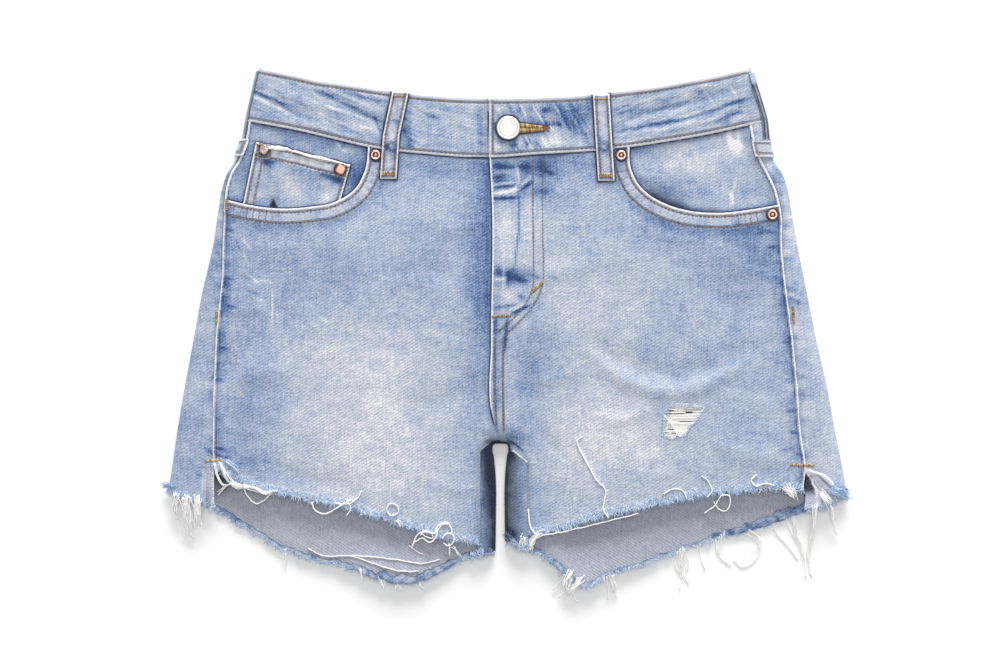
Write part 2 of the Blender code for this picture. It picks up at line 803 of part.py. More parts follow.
def coin_pocket(name):
    """Coin pocket on the left facing: a patch between its top edge and the rim of the front pocket."""
    s, t = np.meshgrid(np.linspace(0, 1, 9), np.linspace(0, 1, 7))
    corners = np.array([COIN["top"], COIN["bottom"]])
    upper = corners[0, 0] + (corners[0, 1] - corners[0, 0]) * s[..., None]
    lower = corners[1, 0] + (corners[1, 1] - corners[1, 0]) * s[..., None]
    x, down = np.moveaxis(upper + (lower - upper) * t[..., None], -1, 0)
    return cloth(name, [lifted(x, down, coin_lift(down))], FACING_WALL, DENIM)


def belt_loop(name, route):
    """Belt loop of a front: a strap from the waistband's top edge to below it, tacked at both ends."""
    route = np.array(route)
    down = np.linspace(route[0, 1], route[-1, 1], 13)
    middle = np.interp(down, route[:, 1], route[:, 0])
    half = LOOP_WIDTH / 2 * np.linspace(-1, 1, 4)
    x, down = middle[:, None] + half, np.repeat(down[:, None], len(half), axis=1)
    t = (down - route[0, 1]) / (route[-1, 1] - route[0, 1])

    def carried(x, down):
        step = BAND_RISE * (1 - ramp(down, band_bottom(x) + 1, band_bottom(x) + 6))
        return top(x, down) + step

    lift = GAP + LOOP_WALL + LOOP_ARCH * np.sin(np.clip(t, 0, 1) * math.pi) ** 0.7
    return cloth(name, [lifted(x, down, lift, carried)], LOOP_WALL, DENIM)


def side_loop(name, side, start, end, highest):
    """Belt loop at the side, seen edge on: a strap wrapped round the fold, its tacked end standing out."""
    tacked = end - TACK_LONG
    down = np.concatenate([np.linspace(start, tacked, 5), np.linspace(tacked + 2, end, 4)])[:, None]
    turn = np.linspace(LOOP_LOWEST, highest, 6)
    rise = BAND_RISE * (1 - ramp(down, *BAND_ENDS_AT_SIDE))
    high = along(LOFT, "crown", down) + rise - FOLD_HEIGHT
    roll = along(LOFT, "roll", down)
    wide = np.where(turn > 0, roll, UNDER_ROLL)
    tall = np.where(turn > 0, high, FOLD_HEIGHT)
    facing_out = np.cos(turn) / wide
    facing_up = np.sin(turn) / tall
    tack = TACK_OUT * ramp(down, tacked - 1, tacked + 3) * np.cos(turn) ** 2
    lift = (GAP + LOOP_WALL + tack) / np.hypot(facing_out, facing_up)
    out = lift * facing_out - wide * (1 - np.cos(turn))
    z = FOLD_HEIGHT + tall * np.sin(turn) + lift * facing_up
    x = outline(side, down) + side * out
    return cloth(name, [places(x, np.broadcast_to(down, x.shape), z)], LOOP_WALL, DENIM, flip=side > 0)


def button(name):
    """Shank button: a ringed head over the lapped end, its shank through the buttonhole's eye."""
    face = top(np.array([BUTTON["across"]]), np.array([BUTTON["down"]]))[0] + BAND_RISE
    seat = face + BAND_LAP_UP + GAP
    foot = face - BAND_LAP_DOWN + GAP - seat
    radius, high, shank = BUTTON["width"] / 2, BUTTON["height"], BUTTON["shank"] / 2
    profile = [(0, 0.62 * high), (0.46 * radius, 0.62 * high), (0.56 * radius, 0.86 * high)]
    profile += [(0.7 * radius, 0.8 * high), (0.86 * radius, high), (0.97 * radius, 0.78 * high)]
    profile += [(radius, 0.4 * high), (0.93 * radius, 0.1 * high), (0.85 * radius, 0)]
    profile += [(shank, 0), (shank, foot), (0, foot)]
    made = turned(name, profile, SILVER, 26)
    made.location = Vector(places(BUTTON["across"], BUTTON["down"], seat)) * MM
    return made


def rivet(name, across, down, on):
    """Rivet: a ringed dome, square to the cloth that it is set in."""
    radius, high = RIVET["width"] / 2, RIVET["height"]
    profile = [(0, 0.62 * high), (0.3 * radius, 0.62 * high), (0.44 * radius, high)]
    profile += [(0.7 * radius, 0.94 * high), (0.92 * radius, 0.55 * high), (radius, 0), (0, 0)]
    made = turned(name, profile, COPPER, 18)
    lift = (coin_lift(down) if on == "coin" else 0.0) + RIVET_SEAT
    seat = lifted(across, down, lift)
    normal = Vector(lifted(across, down, lift + 1.0) - seat)
    upright = normal.to_track_quat("Z", "Y").to_matrix().to_4x4()
    made.matrix_world = Matrix.Translation(Vector(seat) * MM) @ upright
    return made


def fringe(name, path, outward, length, face, droop, seed):
    """Strands on a narrow strip beside a raw edge: every other stretch of the strip grows one strand.

    path and outward are points and unit directions in the plane, face gives the strip's upper height.
    """
    chance = np.random.default_rng(seed)
    near, far = FRINGE_GAP, FRINGE_GAP + STRIP
    corners, faces = [], []
    for (x, down), (out_x, out_d) in zip(path, outward):
        for reach, drop in ((near, STRIP_THICK), (near, 0), (far, 0), (far, STRIP_THICK)):
            corners.append((x + out_x * reach, down + out_d * reach, face(x, down) - drop))
    last = len(path) - 1
    faces += [(0, 1, 2, 3), tuple(4 * last + i for i in (3, 2, 1, 0))]
    swing = chance.uniform(0, 6.28)
    for k in range(last):
        a, b = 4 * k, 4 * k + 4
        for i, j in ((0, 1), (1, 2), (3, 0)):
            faces.append((a + i, b + i, b + j, a + j))
        ring = (a + 2, b + 2, b + 3, a + 3)
        if k % 2:
            faces.append(ring)
            continue
        reach = length[k] * chance.uniform(0.6, 1.0)
        wave = STRAND_WAVE * math.sin(path[k][0] / STRAND_WAVE_LENGTH + swing)
        lean = wave + chance.uniform(-1, 1) * min(0.14, STRAND_WIDTH / reach)
        bend = chance.uniform(-1, 1) * min(0.1, STRAND_WIDTH / reach)
        start = np.mean([corners[i] for i in ring], axis=0)
        corner = math.copysign(CORNER_LEAN, path[k][0]) * float(ramp(abs(path[k][0]), *CORNER_AT))
        out = np.array(outward[k]) + (corner, min(1.0, reach / HANGS_AT))
        out /= np.linalg.norm(out)
        for share, size in ((0.5, 0.8), (1.0, 0.5)):
            angle = lean + bend * share
            turn = np.array([[math.cos(angle), -math.sin(angle)], [math.sin(angle), math.cos(angle)]])
            centre = start + np.array([*(turn @ out * reach * share), 0.0])
            centre[2] -= droop * reach * share
            across = np.array([corners[b + 2][i] - corners[a + 2][i] for i in (0, 1)])
            across *= size / 2
            thick = STRIP_THICK * size / 2
            base = len(corners)
            for way, up in ((-1, 1), (1, 1), (1, -1), (-1, -1)):
                corners.append((*(centre[:2] + way * across), centre[2] + up * thick))
            grown = tuple(base + i for i in range(4))
            for i in range(4):
                j = (i + 1) % 4
                faces.append((ring[i], ring[j], grown[j], grown[i]))
            ring = grown
        faces.append(ring)
    mesh = bpy.data.meshes.new(name)
    mesh.from_pydata([Vector(places(*corner)) * MM for corner in corners], [], faces)
    build = bmesh.new()
    build.from_mesh(mesh)
    bmesh.ops.recalc_face_normals(build, faces=build.faces)
    build.to_mesh(mesh)
    build.free()
    return add_object(name, mesh, RAW, PARTS)


def hem_stations(edge, start, end):
    """Points along a hem and their outward directions: a strand's width, then the space to the next."""
    fine = np.linspace(start, end, 600)
    line = np.stack([fine, edge(fine)], axis=1)
    run = np.concatenate([[0], np.cumsum(np.linalg.norm(np.diff(line, axis=0), axis=1))])
    count = int(run[-1] // STRAND_PITCH)
    first = (run[-1] - count * STRAND_PITCH + STRAND_PITCH - STRAND_WIDTH) / 2
    starts = first + STRAND_PITCH * np.arange(count)
    at = np.sort(np.concatenate([starts, starts + STRAND_WIDTH]))
    x = np.interp(at, run, line[:, 0])
    ahead, behind = x + 1.0, x - 1.0
    out = np.stack([edge(behind) - edge(ahead), ahead - behind], axis=1)
    return np.stack([x, edge(x)], axis=1), out / np.linalg.norm(out, axis=1, keepdims=True)


def back_fringe(side, name):
    """Fringe of a back hem, lying just clear of the surface."""
    outer = beside_fold(side, 3.4, 1.0, yoke_line, lambda x: back_edge(side, x))[0]
    inner = beside_slot(side, 2.4, 1.0, yoke_line, lambda x: back_edge(side, x))[0]
    start, end = sorted((float(outer), float(inner)))
    path, out = hem_stations(lambda x: back_edge(side, x), start, end)
    length = along(FRINGE, "length", path[:, 0])
    return fringe(name, path, out, length, lambda x, down: LIES_AT + STRIP_THICK, 0.0, 11 + side)


def front_fringe(side, name):
    """Fringe of a front hem, level with the cloth and drooping a little over the inside of the back."""
    hem = FRONT_HEM[side]["across"]
    inner = SLOT_X + side * (SLOT_HALF_AT_HEM + inseam(side, LEG_END) + 2.0)
    outer = hem[0] + 6.0 if side < 0 else hem[-1] - 9.0
    start, end = sorted((outer, inner))
    path, out = hem_stations(lambda x: front_edge(side, x), start, end)
    length = FRONT_FRINGE_SHARE * np.minimum(along(FRINGE, "length", path[:, 0]), 14.0) + 2.0

    def face(x, down):
        return float(top(np.array(x), np.array(down))) - (WALL - STRIP_THICK) / 2

    return fringe(name, path, out, length, face, FRONT_DROOP, 21 + side)


for old in list(bpy.data.objects):
    bpy.data.objects.remove(old, do_unlink=True)
PARTS = collection(NAME)
CUTTERS = collection(NAME + "-cutters")
DENIM = material("denim", (0.36, 0.47, 0.68))
RAW = material("raw-weft", (0.84, 0.84, 0.84))
SILVER = material("silvered-brass", (0.86, 0.86, 0.84), 0.25, 1.0)
COPPER = material("copper", (0.62, 0.36, 0.25), 0.35, 1.0)

for side, word in ((-1, "left"), (1, "right")):
    front_panel(side, "front-" + word)
    back_panel(side, "back-" + word)
    yoke(side, "yoke-" + word)
    facing(side, "pocket-facing-" + word)
    back_fringe(side, "fringe-back-" + word)
    front_fringe(side, "fringe-front-" + word)
waistband("waistband")
coin_pocket("coin-pocket")
for name, route in BELT_LOOPS.items():
    belt_loop(name, route)
for name, sizes in SIDE_LOOPS.items():
    side_loop(name, *sizes)
button("button")
for name, place in RIVETS.items():
    rivet(name, *place)
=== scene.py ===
import math

import bpy
import numpy as np
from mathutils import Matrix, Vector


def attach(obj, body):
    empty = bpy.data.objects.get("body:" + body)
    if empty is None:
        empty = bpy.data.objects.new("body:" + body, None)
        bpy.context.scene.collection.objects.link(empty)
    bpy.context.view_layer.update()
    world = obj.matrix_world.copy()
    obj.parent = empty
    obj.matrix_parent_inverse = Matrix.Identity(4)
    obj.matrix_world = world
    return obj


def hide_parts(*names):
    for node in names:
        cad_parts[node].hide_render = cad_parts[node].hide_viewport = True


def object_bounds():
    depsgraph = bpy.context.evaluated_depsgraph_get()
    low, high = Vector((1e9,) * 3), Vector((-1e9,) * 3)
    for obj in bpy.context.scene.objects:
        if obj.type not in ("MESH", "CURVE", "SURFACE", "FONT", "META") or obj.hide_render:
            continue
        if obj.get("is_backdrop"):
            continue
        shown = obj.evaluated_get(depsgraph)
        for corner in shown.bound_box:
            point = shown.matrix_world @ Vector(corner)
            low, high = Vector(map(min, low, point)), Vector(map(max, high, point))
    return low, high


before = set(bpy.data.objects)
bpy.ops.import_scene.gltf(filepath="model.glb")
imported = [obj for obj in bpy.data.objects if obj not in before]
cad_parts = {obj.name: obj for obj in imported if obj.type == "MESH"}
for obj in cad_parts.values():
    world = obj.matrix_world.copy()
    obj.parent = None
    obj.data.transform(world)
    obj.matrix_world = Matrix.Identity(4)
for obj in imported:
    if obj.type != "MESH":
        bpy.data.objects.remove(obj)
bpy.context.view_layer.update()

# Cut-off denim shorts laid flat on their back. Lengths are in millimetres until a mesh is made:
# x runs across, d runs down from the waist corners, z stands up from the surface.
mm = 0.001
waistY = 196.16
far = 99.0  # a distance that is out of reach of any seam or edge


# small tools
def table(columns, *rows):
    return dict(zip(columns.split(), np.array(rows, float).T))


def patches(*rows):
    # soft ovals: middle, two widths, turn in degrees and amount
    return table("x0 d0 wide tall turn amount", *rows)


def strokes(*rows):
    # bowed lines: two ends, bow, width and height
    return table("x0 d0 x1 d1 bow spread height", *rows)


def readAt(rows, column, at):
    # smooth (Hermite) curve through a column, read over the table's first column
    places, values = next(iter(rows.values())), rows[column]
    slopes = np.gradient(values, places)
    at = np.asarray(at, float)
    i = np.clip(np.searchsorted(places, at) - 1, 0, len(places) - 2)
    run = places[i + 1] - places[i]
    t = np.clip((at - places[i]) / run, 0.0, 1.0)
    start = values[i] * (1 + 2 * t) * (1 - t) ** 2 + slopes[i] * run * t * (1 - t) ** 2
    end = values[i + 1] * t * t * (3 - 2 * t) + slopes[i + 1] * run * t * t * (t - 1)
    return start + end


def ramp(value, low, high):
    # 0 at low, 1 at high, smooth between
    t = np.clip((np.asarray(value, float) - low) / (high - low), 0.0, 1.0)
    return t * t * (3 - 2 * t)


def fade(value, low, high):
    # 1 at low, 0 at high
    return 1 - ramp(value, low, high)


def bell(away, width):
    # Gaussian: 1 at nothing away, 1/e at the width
    return np.exp(-((away / width) ** 2))


def coords(*values):
    # across, down and up, or the first two, as places: one row of values for each
    return np.stack(np.broadcast_arrays(*values), -1)


def noise(x, y, size, seed):
    # random values on a lattice of the given cell size, blended smoothly: from -1 to 1
    lattice = np.random.default_rng(seed).uniform(-1, 1, (256, 256))
    u, v = np.broadcast_arrays(np.asarray(x, float) / size, np.asarray(y, float) / size)
    i, j = np.floor(u).astype(int), np.floor(v).astype(int)
    fu, fv = ramp(u - i, 0, 1), ramp(v - j, 0, 1)
    near = lattice[i % 256, j % 256] * (1 - fu) + lattice[(i + 1) % 256, j % 256] * fu
    over = lattice[i % 256, (j + 1) % 256] * (1 - fu) + lattice[(i + 1) % 256, (j + 1) % 256] * fu
    return near * (1 - fv) + over * fv


def runOf(line):
    return np.concatenate([[0], np.cumsum(np.linalg.norm(np.diff(line, axis=0), axis=1))])


def spaced(line, step):
    # the same line with points at equal steps
    line = np.asarray(line, float)
    run = runOf(line)
    at = np.linspace(0, run[-1], max(2, int(round(run[-1] / step)) + 1))
    return np.stack([np.interp(at, run, column) for column in line.T], axis=1)


def curved(points, step):
    # a smooth line through a few points: each coordinate is read over the run along them
    points = np.asarray(points, float)
    run = runOf(points)
    at = np.linspace(0, run[-1], max(3, int(run[-1] / step) + 1))
    rows = {"run": run, **{str(k): column for k, column in enumerate(points.T)}}
    return np.stack([readAt(rows, str(k), at) for k in range(points.shape[1])], axis=1)


def sideways(line, away):
    # the line moved square to its own run
    along = np.gradient(line, axis=0)
    along /= np.maximum(np.linalg.norm(along, axis=1, keepdims=True), 1e-9)
    return line + coords(-along[:, 1], along[:, 0]) * away


def nearest(line, x, d):
    # distance of each place from a line, and the run along the line to its nearest point
    best, where = np.full(np.shape(x), far), np.zeros(np.shape(x))
    run = runOf(line)
    for k in range(len(line) - 1):
        (x0, d0), (x1, d1) = line[k], line[k + 1]
        length = max((x1 - x0) ** 2 + (d1 - d0) ** 2, 1e-9)
        t = np.clip(((x - x0) * (x1 - x0) + (d - d0) * (d1 - d0)) / length, 0, 1)
        away = np.hypot(x - x0 - t * (x1 - x0), d - d0 - t * (d1 - d0))
        closer = away < best
        best = np.where(closer, away, best)
        where = np.where(closer, run[k] + t * math.sqrt(length), where)
    return best, where


def nearestOf(lines, x, d):
    best, where = np.full(np.shape(x), far), np.zeros(np.shape(x))
    for line in lines:
        away, run = nearest(line, x, d)
        where = np.where(away < best, run, where)
        best = np.minimum(away, best)
    return best, where


def rollOff(away, reach):
    # an edge that rolls over in a quarter circle: 1 at the edge, 0 from the reach on
    return 1 - np.sqrt(1 - (1 - np.clip(away / reach, 0, 1)) ** 2)


def inside(loop, x, d):
    # even-odd rule: counts the loop's edges that pass to one side of each place
    found = np.zeros(np.shape(x), bool)
    for (x0, d0), (x1, d1) in zip(loop, np.roll(loop, -1, axis=0)):
        if d0 != d1:
            found ^= ((d0 > d) != (d1 > d)) & (x < x0 + (d - d0) * (x1 - x0) / (d1 - d0))
    return found


def spots(rows, x, d):
    # sum of soft oval patches: each a Gaussian of two widths, turned by some degrees
    total = np.zeros(np.shape(x))
    for x0, d0, wide, tall, turn, amount in zip(*rows.values()):
        c, s = math.cos(math.radians(turn)), math.sin(math.radians(turn))
        u, v = (x - x0) * c + (d - d0) * s, (d - d0) * c - (x - x0) * s
        total = total + amount * np.exp(-((u / wide) ** 2) - (v / tall) ** 2)
    return total


# the garment's measures
outlines = table(
    "down left right",
    (0, -182.4, 183), (14, -185.6, 186.9), (38, -190.8, 193.7), (52, -193.4, 195.4), (67, -199.4, 199.6),
    (76, -205.6, 205.8), (86, -209.2, 209.6), (103, -212.2, 212.8), (129, -216.1, 217.2), (165, -224.4, 224.4),
    (200, -230.8, 231.5), (236, -237.5, 239.6), (272, -243.5, 246.2), (298, -247.2, 251.4), (320, -251, 255.2),
)
seamInsets = table(
    "down left right",
    (38, 0.9, 10.6), (52, 1, 9.6), (66, 1.8, 8.8), (76, 2.4, 10.4), (88, 2.8, 9), (100, 3.7, 8), (112, 5.2, 8.4),
    (125, 6.4, 10.8), (156, 12.6, 14.4), (195, 16.2, 17.2), (236, 21.8, 22.2), (270, 26.9, 26), (292, 30.1, 26.9),
    (325, 36, 32.4),
)
bandTops = table(
    "across down",
    (-194, -3.6), (-180, -0.9), (-160, 2.8), (-140, 7.3), (-120, 10.2), (-100, 13.2), (-80, 16.2), (-60, 18.4),
    (-40, 19.9), (-20, 20.6), (20, 20.6), (40, 19.9), (60, 18.4), (80, 16.2), (100, 13.9), (120, 11), (140, 7.3),
    (160, 3.6), (180, -0.9), (194, -3.6),
)
bandBottoms = table(
    "across down",
    (-194, 37.8), (-183, 39.6), (-151, 45.6), (-127, 51.3), (-103, 57), (-59, 62.6), (-13, 65.4), (24, 62.9),
    (65, 60.4), (82, 58.9), (120, 53.4), (149, 48.4), (181, 41.4), (194, 38.6),
)
frontHems = {
    -1: table(
        "across down",
        (-218, 294), (-201, 306.4), (-177, 314.3), (-143, 321.4), (-103, 331.6), (-68, 342.7), (-42, 350.5),
        (-14, 354.5),
    ),
    1: table(
        "across down",
        (12, 349), (28, 346.4), (49, 341.2), (77, 332.6), (98, 329), (133, 320.6), (168, 316), (190, 313.2),
        (222, 315),
    ),
}
backHems = {
    -1: table(
        "across down",
        (-256, 311), (-220, 323.5), (-194, 339.7), (-156, 359.2), (-129, 366.2), (-94, 376.8), (-76, 381),
        (-58, 377.6), (-33, 364.5), (-3, 357),
    ),
    1: table(
        "across down",
        (0, 349.5), (19, 356.8), (38, 368), (58, 384.5), (75, 376.2), (99, 368.2), (145, 351.6), (184, 340.8),
        (215, 330), (243, 321), (257, 316),
    ),
}
lofts = table(
    "down crown roll",
    (0, 6.6, 5.4), (45, 7, 6), (75, 8, 9.5), (110, 9.2, 12.5), (200, 10.4, 14), (290, 10.4, 14), (356, 9.2, 13),
)
slotHalves = table(
    "down half",
    (270, 5.9), (282, 5.9), (286, 5), (292, 4.2), (300, 3.5), (312, 3.05), (330, 3.2), (360, 3.6),
)
inseamInsets = table(
    "down left right",
    (276, 8.6, 1.8), (282, 9.2, 2.4), (286, 10, 8), (290.5, 10.7, 14.2), (300, 11.3, 16.4), (310, 11.8, 17),
    (330, 11.7, 16.9), (360, 11.6, 16.8),
)
flyEdge = table(
    "down edge rise",
    (60, -11.4, 1), (97, -9.4, 1), (204, -10, 1), (254, -9.6, 1), (266, -6.4, 0.45), (274, -3.2, 0),
)
pocketEdges = {
    -1: table(
        "across down",
        (-208, 96), (-189, 100.4), (-166, 103), (-145, 101.8), (-126, 98.2), (-110, 87.4), (-104, 76), (-100.6, 50),
    ),
    1: table(
        "across down",
        (92.6, 50), (94, 74), (99, 84.5), (106, 91.8), (120, 99.8), (135, 104.3), (158, 106.2), (186, 103.2),
        (206, 99.6),
    ),
}
mainCreases = strokes(
    (61, 208, 180, 216, 27, 6.5, 1.5), (58, 197, 182, 203, 25, 8, -0.9), (70, 260, 108, 251, 3, 5.5, 0.9),
    (-176, 292, -118, 306, 5, 7, -0.9), (-205, 236, -150, 226, -6, 8, 0.8), (20, 150, 76, 138, 5, 7, 0.7),
    (-24, 176, -92, 158, 6, 8, 0.7), (-22, 236, -84, 246, -7, 8, -0.8), (150, 268, 204, 288, 7, 7, 0.8),
)
fineCreases = strokes(  # softer and shorter ones, uneven, on both legs
    (-12, 96, -42, 88, 2, 3, 0.5), (-12, 110, -50, 118, -3, 3.5, 0.45), (-14, 205, -48, 196, 3, 3.5, -0.4),
    (-206, 150, -178, 156, 2, 3, -0.45), (-208, 178, -170, 184, -3, 4, 0.4), (-212, 262, -176, 268, 3, 4, 0.45),
    (-60, 300, -20, 312, 4, 5, 0.5), (-120, 196, -60, 204, 6, 6, -0.35), (-152, 118, -110, 126, 4, 5, 0.4),
    (24, 96, 60, 90, -2, 4, 0.4), (30, 118, 64, 122, 3, 4, -0.35), (18, 230, 52, 222, 4, 4, 0.5),
    (24, 262, 50, 292, 3, 4, -0.5), (160, 232, 206, 240, 4, 4, -0.4), (170, 150, 206, 156, -3, 4, 0.45),
    (176, 186, 212, 180, 3, 3.5, -0.4), (96, 300, 140, 292, 4, 5, 0.4), (104, 118, 150, 126, 4, 4, 0.4),
)
laid = {
    "fold": 3.4, "underRoll": 4.2, "dome": 1.2, "domeReach": 90.0, "domeFrom": 65.0, "domeGrows": 70.0,
    "slotX": -3.1, "slotTop": 277.4, "slotHalf": 5.9, "slotSquare": 5.0,
    "fray": 3.0, "backFray": 0.6, "lapUnder": 5.0, "lapRise": 1.6, "flyRise": 0.8, "flyWidth": 37.0,
    "flyCurvesFrom": 150.0, "flyCurvesOver": 46.0, "bandRise": 0.7, "slitTop": 291.0,
}


def word(side):
    return "left" if side < 0 else "right"


def outlineAt(side, d):
    return readAt(outlines, word(side), d)


def sideSeamAt(side, d):
    return outlineAt(side, d) - side * readAt(seamInsets, word(side), d)


def inseamAt(side, d):
    return readAt(inseamInsets, word(side), d)


def bandTop(x):
    return readAt(bandTops, "down", x)


def bandBottom(x):
    return readAt(bandBottoms, "down", x)


def slotHalfAt(d):
    return readAt(slotHalves, "half", d)


def slotAway(x, d):
    # distance from the fold round the space between the legs: a rounded square above its centre, straight below
    centre, power = laid["slotTop"] + laid["slotHalf"], laid["slotSquare"]
    above = (np.abs(x - laid["slotX"]) ** power + np.abs(d - centre) ** power) ** (1 / power) - laid["slotHalf"]
    return np.where(d < centre, above, np.abs(x - laid["slotX"]) - slotHalfAt(d))


def rimAway(x, d):
    sides = np.minimum(x - outlineAt(-1, d), outlineAt(1, d) - x)
    return np.maximum(np.minimum(sides, slotAway(x, d)), 0.0)


def creased(rows, x, d):
    # soft ridges and troughs: a Gaussian across each bowed line, fading towards the line's ends
    total = np.zeros(np.shape(x))
    for x0, d0, x1, d1, bow, spread, height in zip(*rows.values()):
        length = math.hypot(x1 - x0, d1 - d0)
        t = ((x - x0) * (x1 - x0) + (d - d0) * (d1 - d0)) / length**2
        along = np.clip(t, 0, 1)
        away = ((d - d0) * (x1 - x0) - (x - x0) * (d1 - d0)) / length - 4 * bow * along * (1 - along)
        ends = ramp(t, -0.12, 0.3) * fade(t, 0.7, 1.12)
        total = total + height * ends * bell(away, spread)
    return total


def tubeTop(x, d):
    # outer face of the laid tube: an elliptic roll up from its rim, a slow dome, then the main creases
    rim = rimAway(x, d)
    t = np.clip(rim / readAt(lofts, "roll", d), 0, 1)
    rise = (readAt(lofts, "crown", d) - laid["fold"]) * np.sqrt(1 - (1 - t) ** 2)
    dome = ramp(rim, readAt(lofts, "roll", d), laid["domeReach"])
    dome = laid["dome"] * dome * ramp(d, laid["domeFrom"], laid["domeFrom"] + laid["domeGrows"])
    return laid["fold"] + rise + dome + creased(mainCreases, x, d) * ramp(rim, 4.0, 22.0)


def softness(x, d):
    # the small unevenness of worn cloth: fine creases, slow waves and short ripples
    waves = 0.3 * noise(x, d, 24, 1) + 0.15 * noise(x, d, 10, 2) + 0.06 * noise(x, d, 4, 3)
    return (creased(fineCreases, x, d) + waves) * ramp(rimAway(x, d), 0.0, 14.0)


def flyLift(x, d):
    # the right front over the left one: its lapped edge, and the fly facing's J under it
    into = x - readAt(flyEdge, "edge", d)
    over = np.clip((d - laid["flyCurvesFrom"]) / laid["flyCurvesOver"], 0, 1)
    width = laid["flyWidth"] * np.sqrt(1 - over**2)
    lap = laid["lapRise"] * fade(into, laid["lapUnder"] + 3, laid["lapUnder"] + 12)
    facing = laid["flyRise"] * fade(into, width - 3, width + 4)
    return readAt(flyEdge, "rise", d) * np.maximum(lap, facing)


# meshes
def quads(index):
    return np.stack([index[:-1, :-1], index[1:, :-1], index[1:, 1:], index[:-1, 1:]], -1).reshape(-1, 4)


def gridFaces(rows, columns, closed=False):
    # quads of a grid of points, rows by columns, round again where the rows close
    index = np.arange(rows * columns).reshape(rows, columns)
    return quads(np.concatenate([index, index[:, :1]], axis=1) if closed else index)


def trimmedGrid(loop, step, holes=()):
    # a square grid cut to a closed loop: cells whose middle is inside, their rim moved onto the loop
    low, high = loop.min(axis=0) - step, loop.max(axis=0) + step
    x, d = np.meshgrid(np.arange(low[0], high[0], step), np.arange(low[1], high[1], step))
    middleX, middleD = (x[:-1, :-1] + x[1:, 1:]) / 2, (d[:-1, :-1] + d[1:, 1:]) / 2
    keep = inside(loop, middleX, middleD)
    for hole in holes:
        keep &= ~inside(hole, middleX, middleD)
    quads = gridFaces(*x.shape)[keep.ravel()]
    count = np.bincount(quads.ravel(), minlength=x.size)
    places = coords(x.ravel(), d.ravel())
    rim = np.flatnonzero((count > 0) & (count < 4))
    edge = np.concatenate([spaced(np.vstack([line, line[:1]]), step / 6) for line in (loop, *holes)])
    for part in np.array_split(rim, max(1, len(rim) // 200)):
        gaps = np.linalg.norm(places[part][:, None] - edge[None], axis=2)
        places[part] = edge[gaps.argmin(axis=1)]
    used = np.flatnonzero(count)
    number = np.zeros(x.size, int)
    number[used] = np.arange(len(used))
    return places[used, 0], places[used, 1], number[quads]


plainMarks = {  # what denim reads where a piece says nothing else: distances in millimetres, and shares
    "wash": 0.0, "edgeAway": far, "seamAway": far, "seamRun": 0.0, "gapAway": far, "worn": 0.0, "roping": 0.0,
    "deep": 0.0,
}


def addObject(name, data):
    item = bpy.data.objects.new(name, data)
    bpy.context.scene.collection.objects.link(item)
    return item


def makePiece(name, points, faces, finishes, marks, wall=0.0, softEdge=0.0, slot=None, replaces=()):
    # points are across, down and up in millimetres; marks are what the materials read at each point
    if "wash" in marks:
        marks = {**plainMarks, **marks}
    points = np.asarray(points, float).reshape(-1, 3)
    mesh = bpy.data.meshes.new(name)
    mesh.from_pydata(coords(points[:, 0], waistY - points[:, 1], points[:, 2]) * mm, [], faces)
    for finish in finishes:
        mesh.materials.append(finish)
    for key, values in marks.items():
        values = np.broadcast_to(np.asarray(values, np.float32).ravel(), len(points))
        mesh.attributes.new(key, "FLOAT", "POINT").data.foreach_set("value", np.ascontiguousarray(values))
    mesh.shade_smooth()
    piece = addObject(name, mesh)
    if wall:
        shell = piece.modifiers.new("wall", "SOLIDIFY")
        shell.thickness, shell.offset = wall * mm, -1.0
        shell.use_quality_normals = True
        shell.material_offset = len(finishes) - 1
    if softEdge:
        edge = piece.modifiers.new("soft edge", "BEVEL")
        edge.width, edge.segments = softEdge * mm, 2
        edge.limit_method, edge.angle_limit = "ANGLE", math.radians(50)
    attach(piece, "root")
    if replaces:
        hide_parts(*replaces)


def tubes(paths, radii):
    # square tubes along paths (count, points, 3): rings square to the run, tapered by radii, ends closed
    paths = np.asarray(paths, float)
    count, points, _ = paths.shape
    along = np.gradient(paths, axis=1)
    along /= np.maximum(np.linalg.norm(along, axis=2, keepdims=True), 1e-9)
    across = coords(-along[..., 1], along[..., 0], np.zeros(along.shape[:2]))
    across /= np.maximum(np.linalg.norm(across, axis=2, keepdims=True), 1e-6)
    over = np.cross(along, across)
    turn = (np.arange(4) + 0.5) * math.pi / 2
    ring = across[..., None, :] * np.cos(turn)[:, None] + over[..., None, :] * np.sin(turn)[:, None]
    verts = paths[:, :, None] + ring * np.broadcast_to(radii, (count, points))[..., None, None]
    last = (points - 1) * 4
    one = np.concatenate([gridFaces(points, 4, closed=True), [[0, 1, 2, 3], [last + 3, last + 2, last + 1, last]]])
    faces = one[None] + (np.arange(count) * points * 4)[:, None, None]
    return verts.reshape(-1, 3), faces.reshape(-1, 4)


# materials
def colour(hexCode):
    # sRGB hex to linear
    parts = np.array([int(hexCode[k : k + 2], 16) for k in (1, 3, 5)]) / 255
    linear = np.where(parts <= 0.04045, parts / 12.92, ((parts + 0.055) / 1.055) ** 2.4)
    return (*[float(v) for v in linear], 1.0)


def addNode(tree, kind, inputs=(), out=0, **settings):
    # one node with its settings; its inputs, by place or by name, are numbers to set or sockets to link
    node = tree.nodes.new("ShaderNode" + kind)
    for key, value in settings.items():
        if key == "stops":
            stops = node.color_ramp.elements
            while len(stops) < len(value):
                stops.new(0.5)
            for stop, (place, shade) in zip(stops, value):
                stop.position, stop.color = place, colour(shade)
        else:
            setattr(node, key, value)
    for key, value in inputs.items() if isinstance(inputs, dict) else enumerate(inputs):
        if isinstance(value, bpy.types.NodeSocket):
            tree.links.new(value, node.inputs[key])
        else:
            node.inputs[key].default_value = value
    return node.outputs[out]


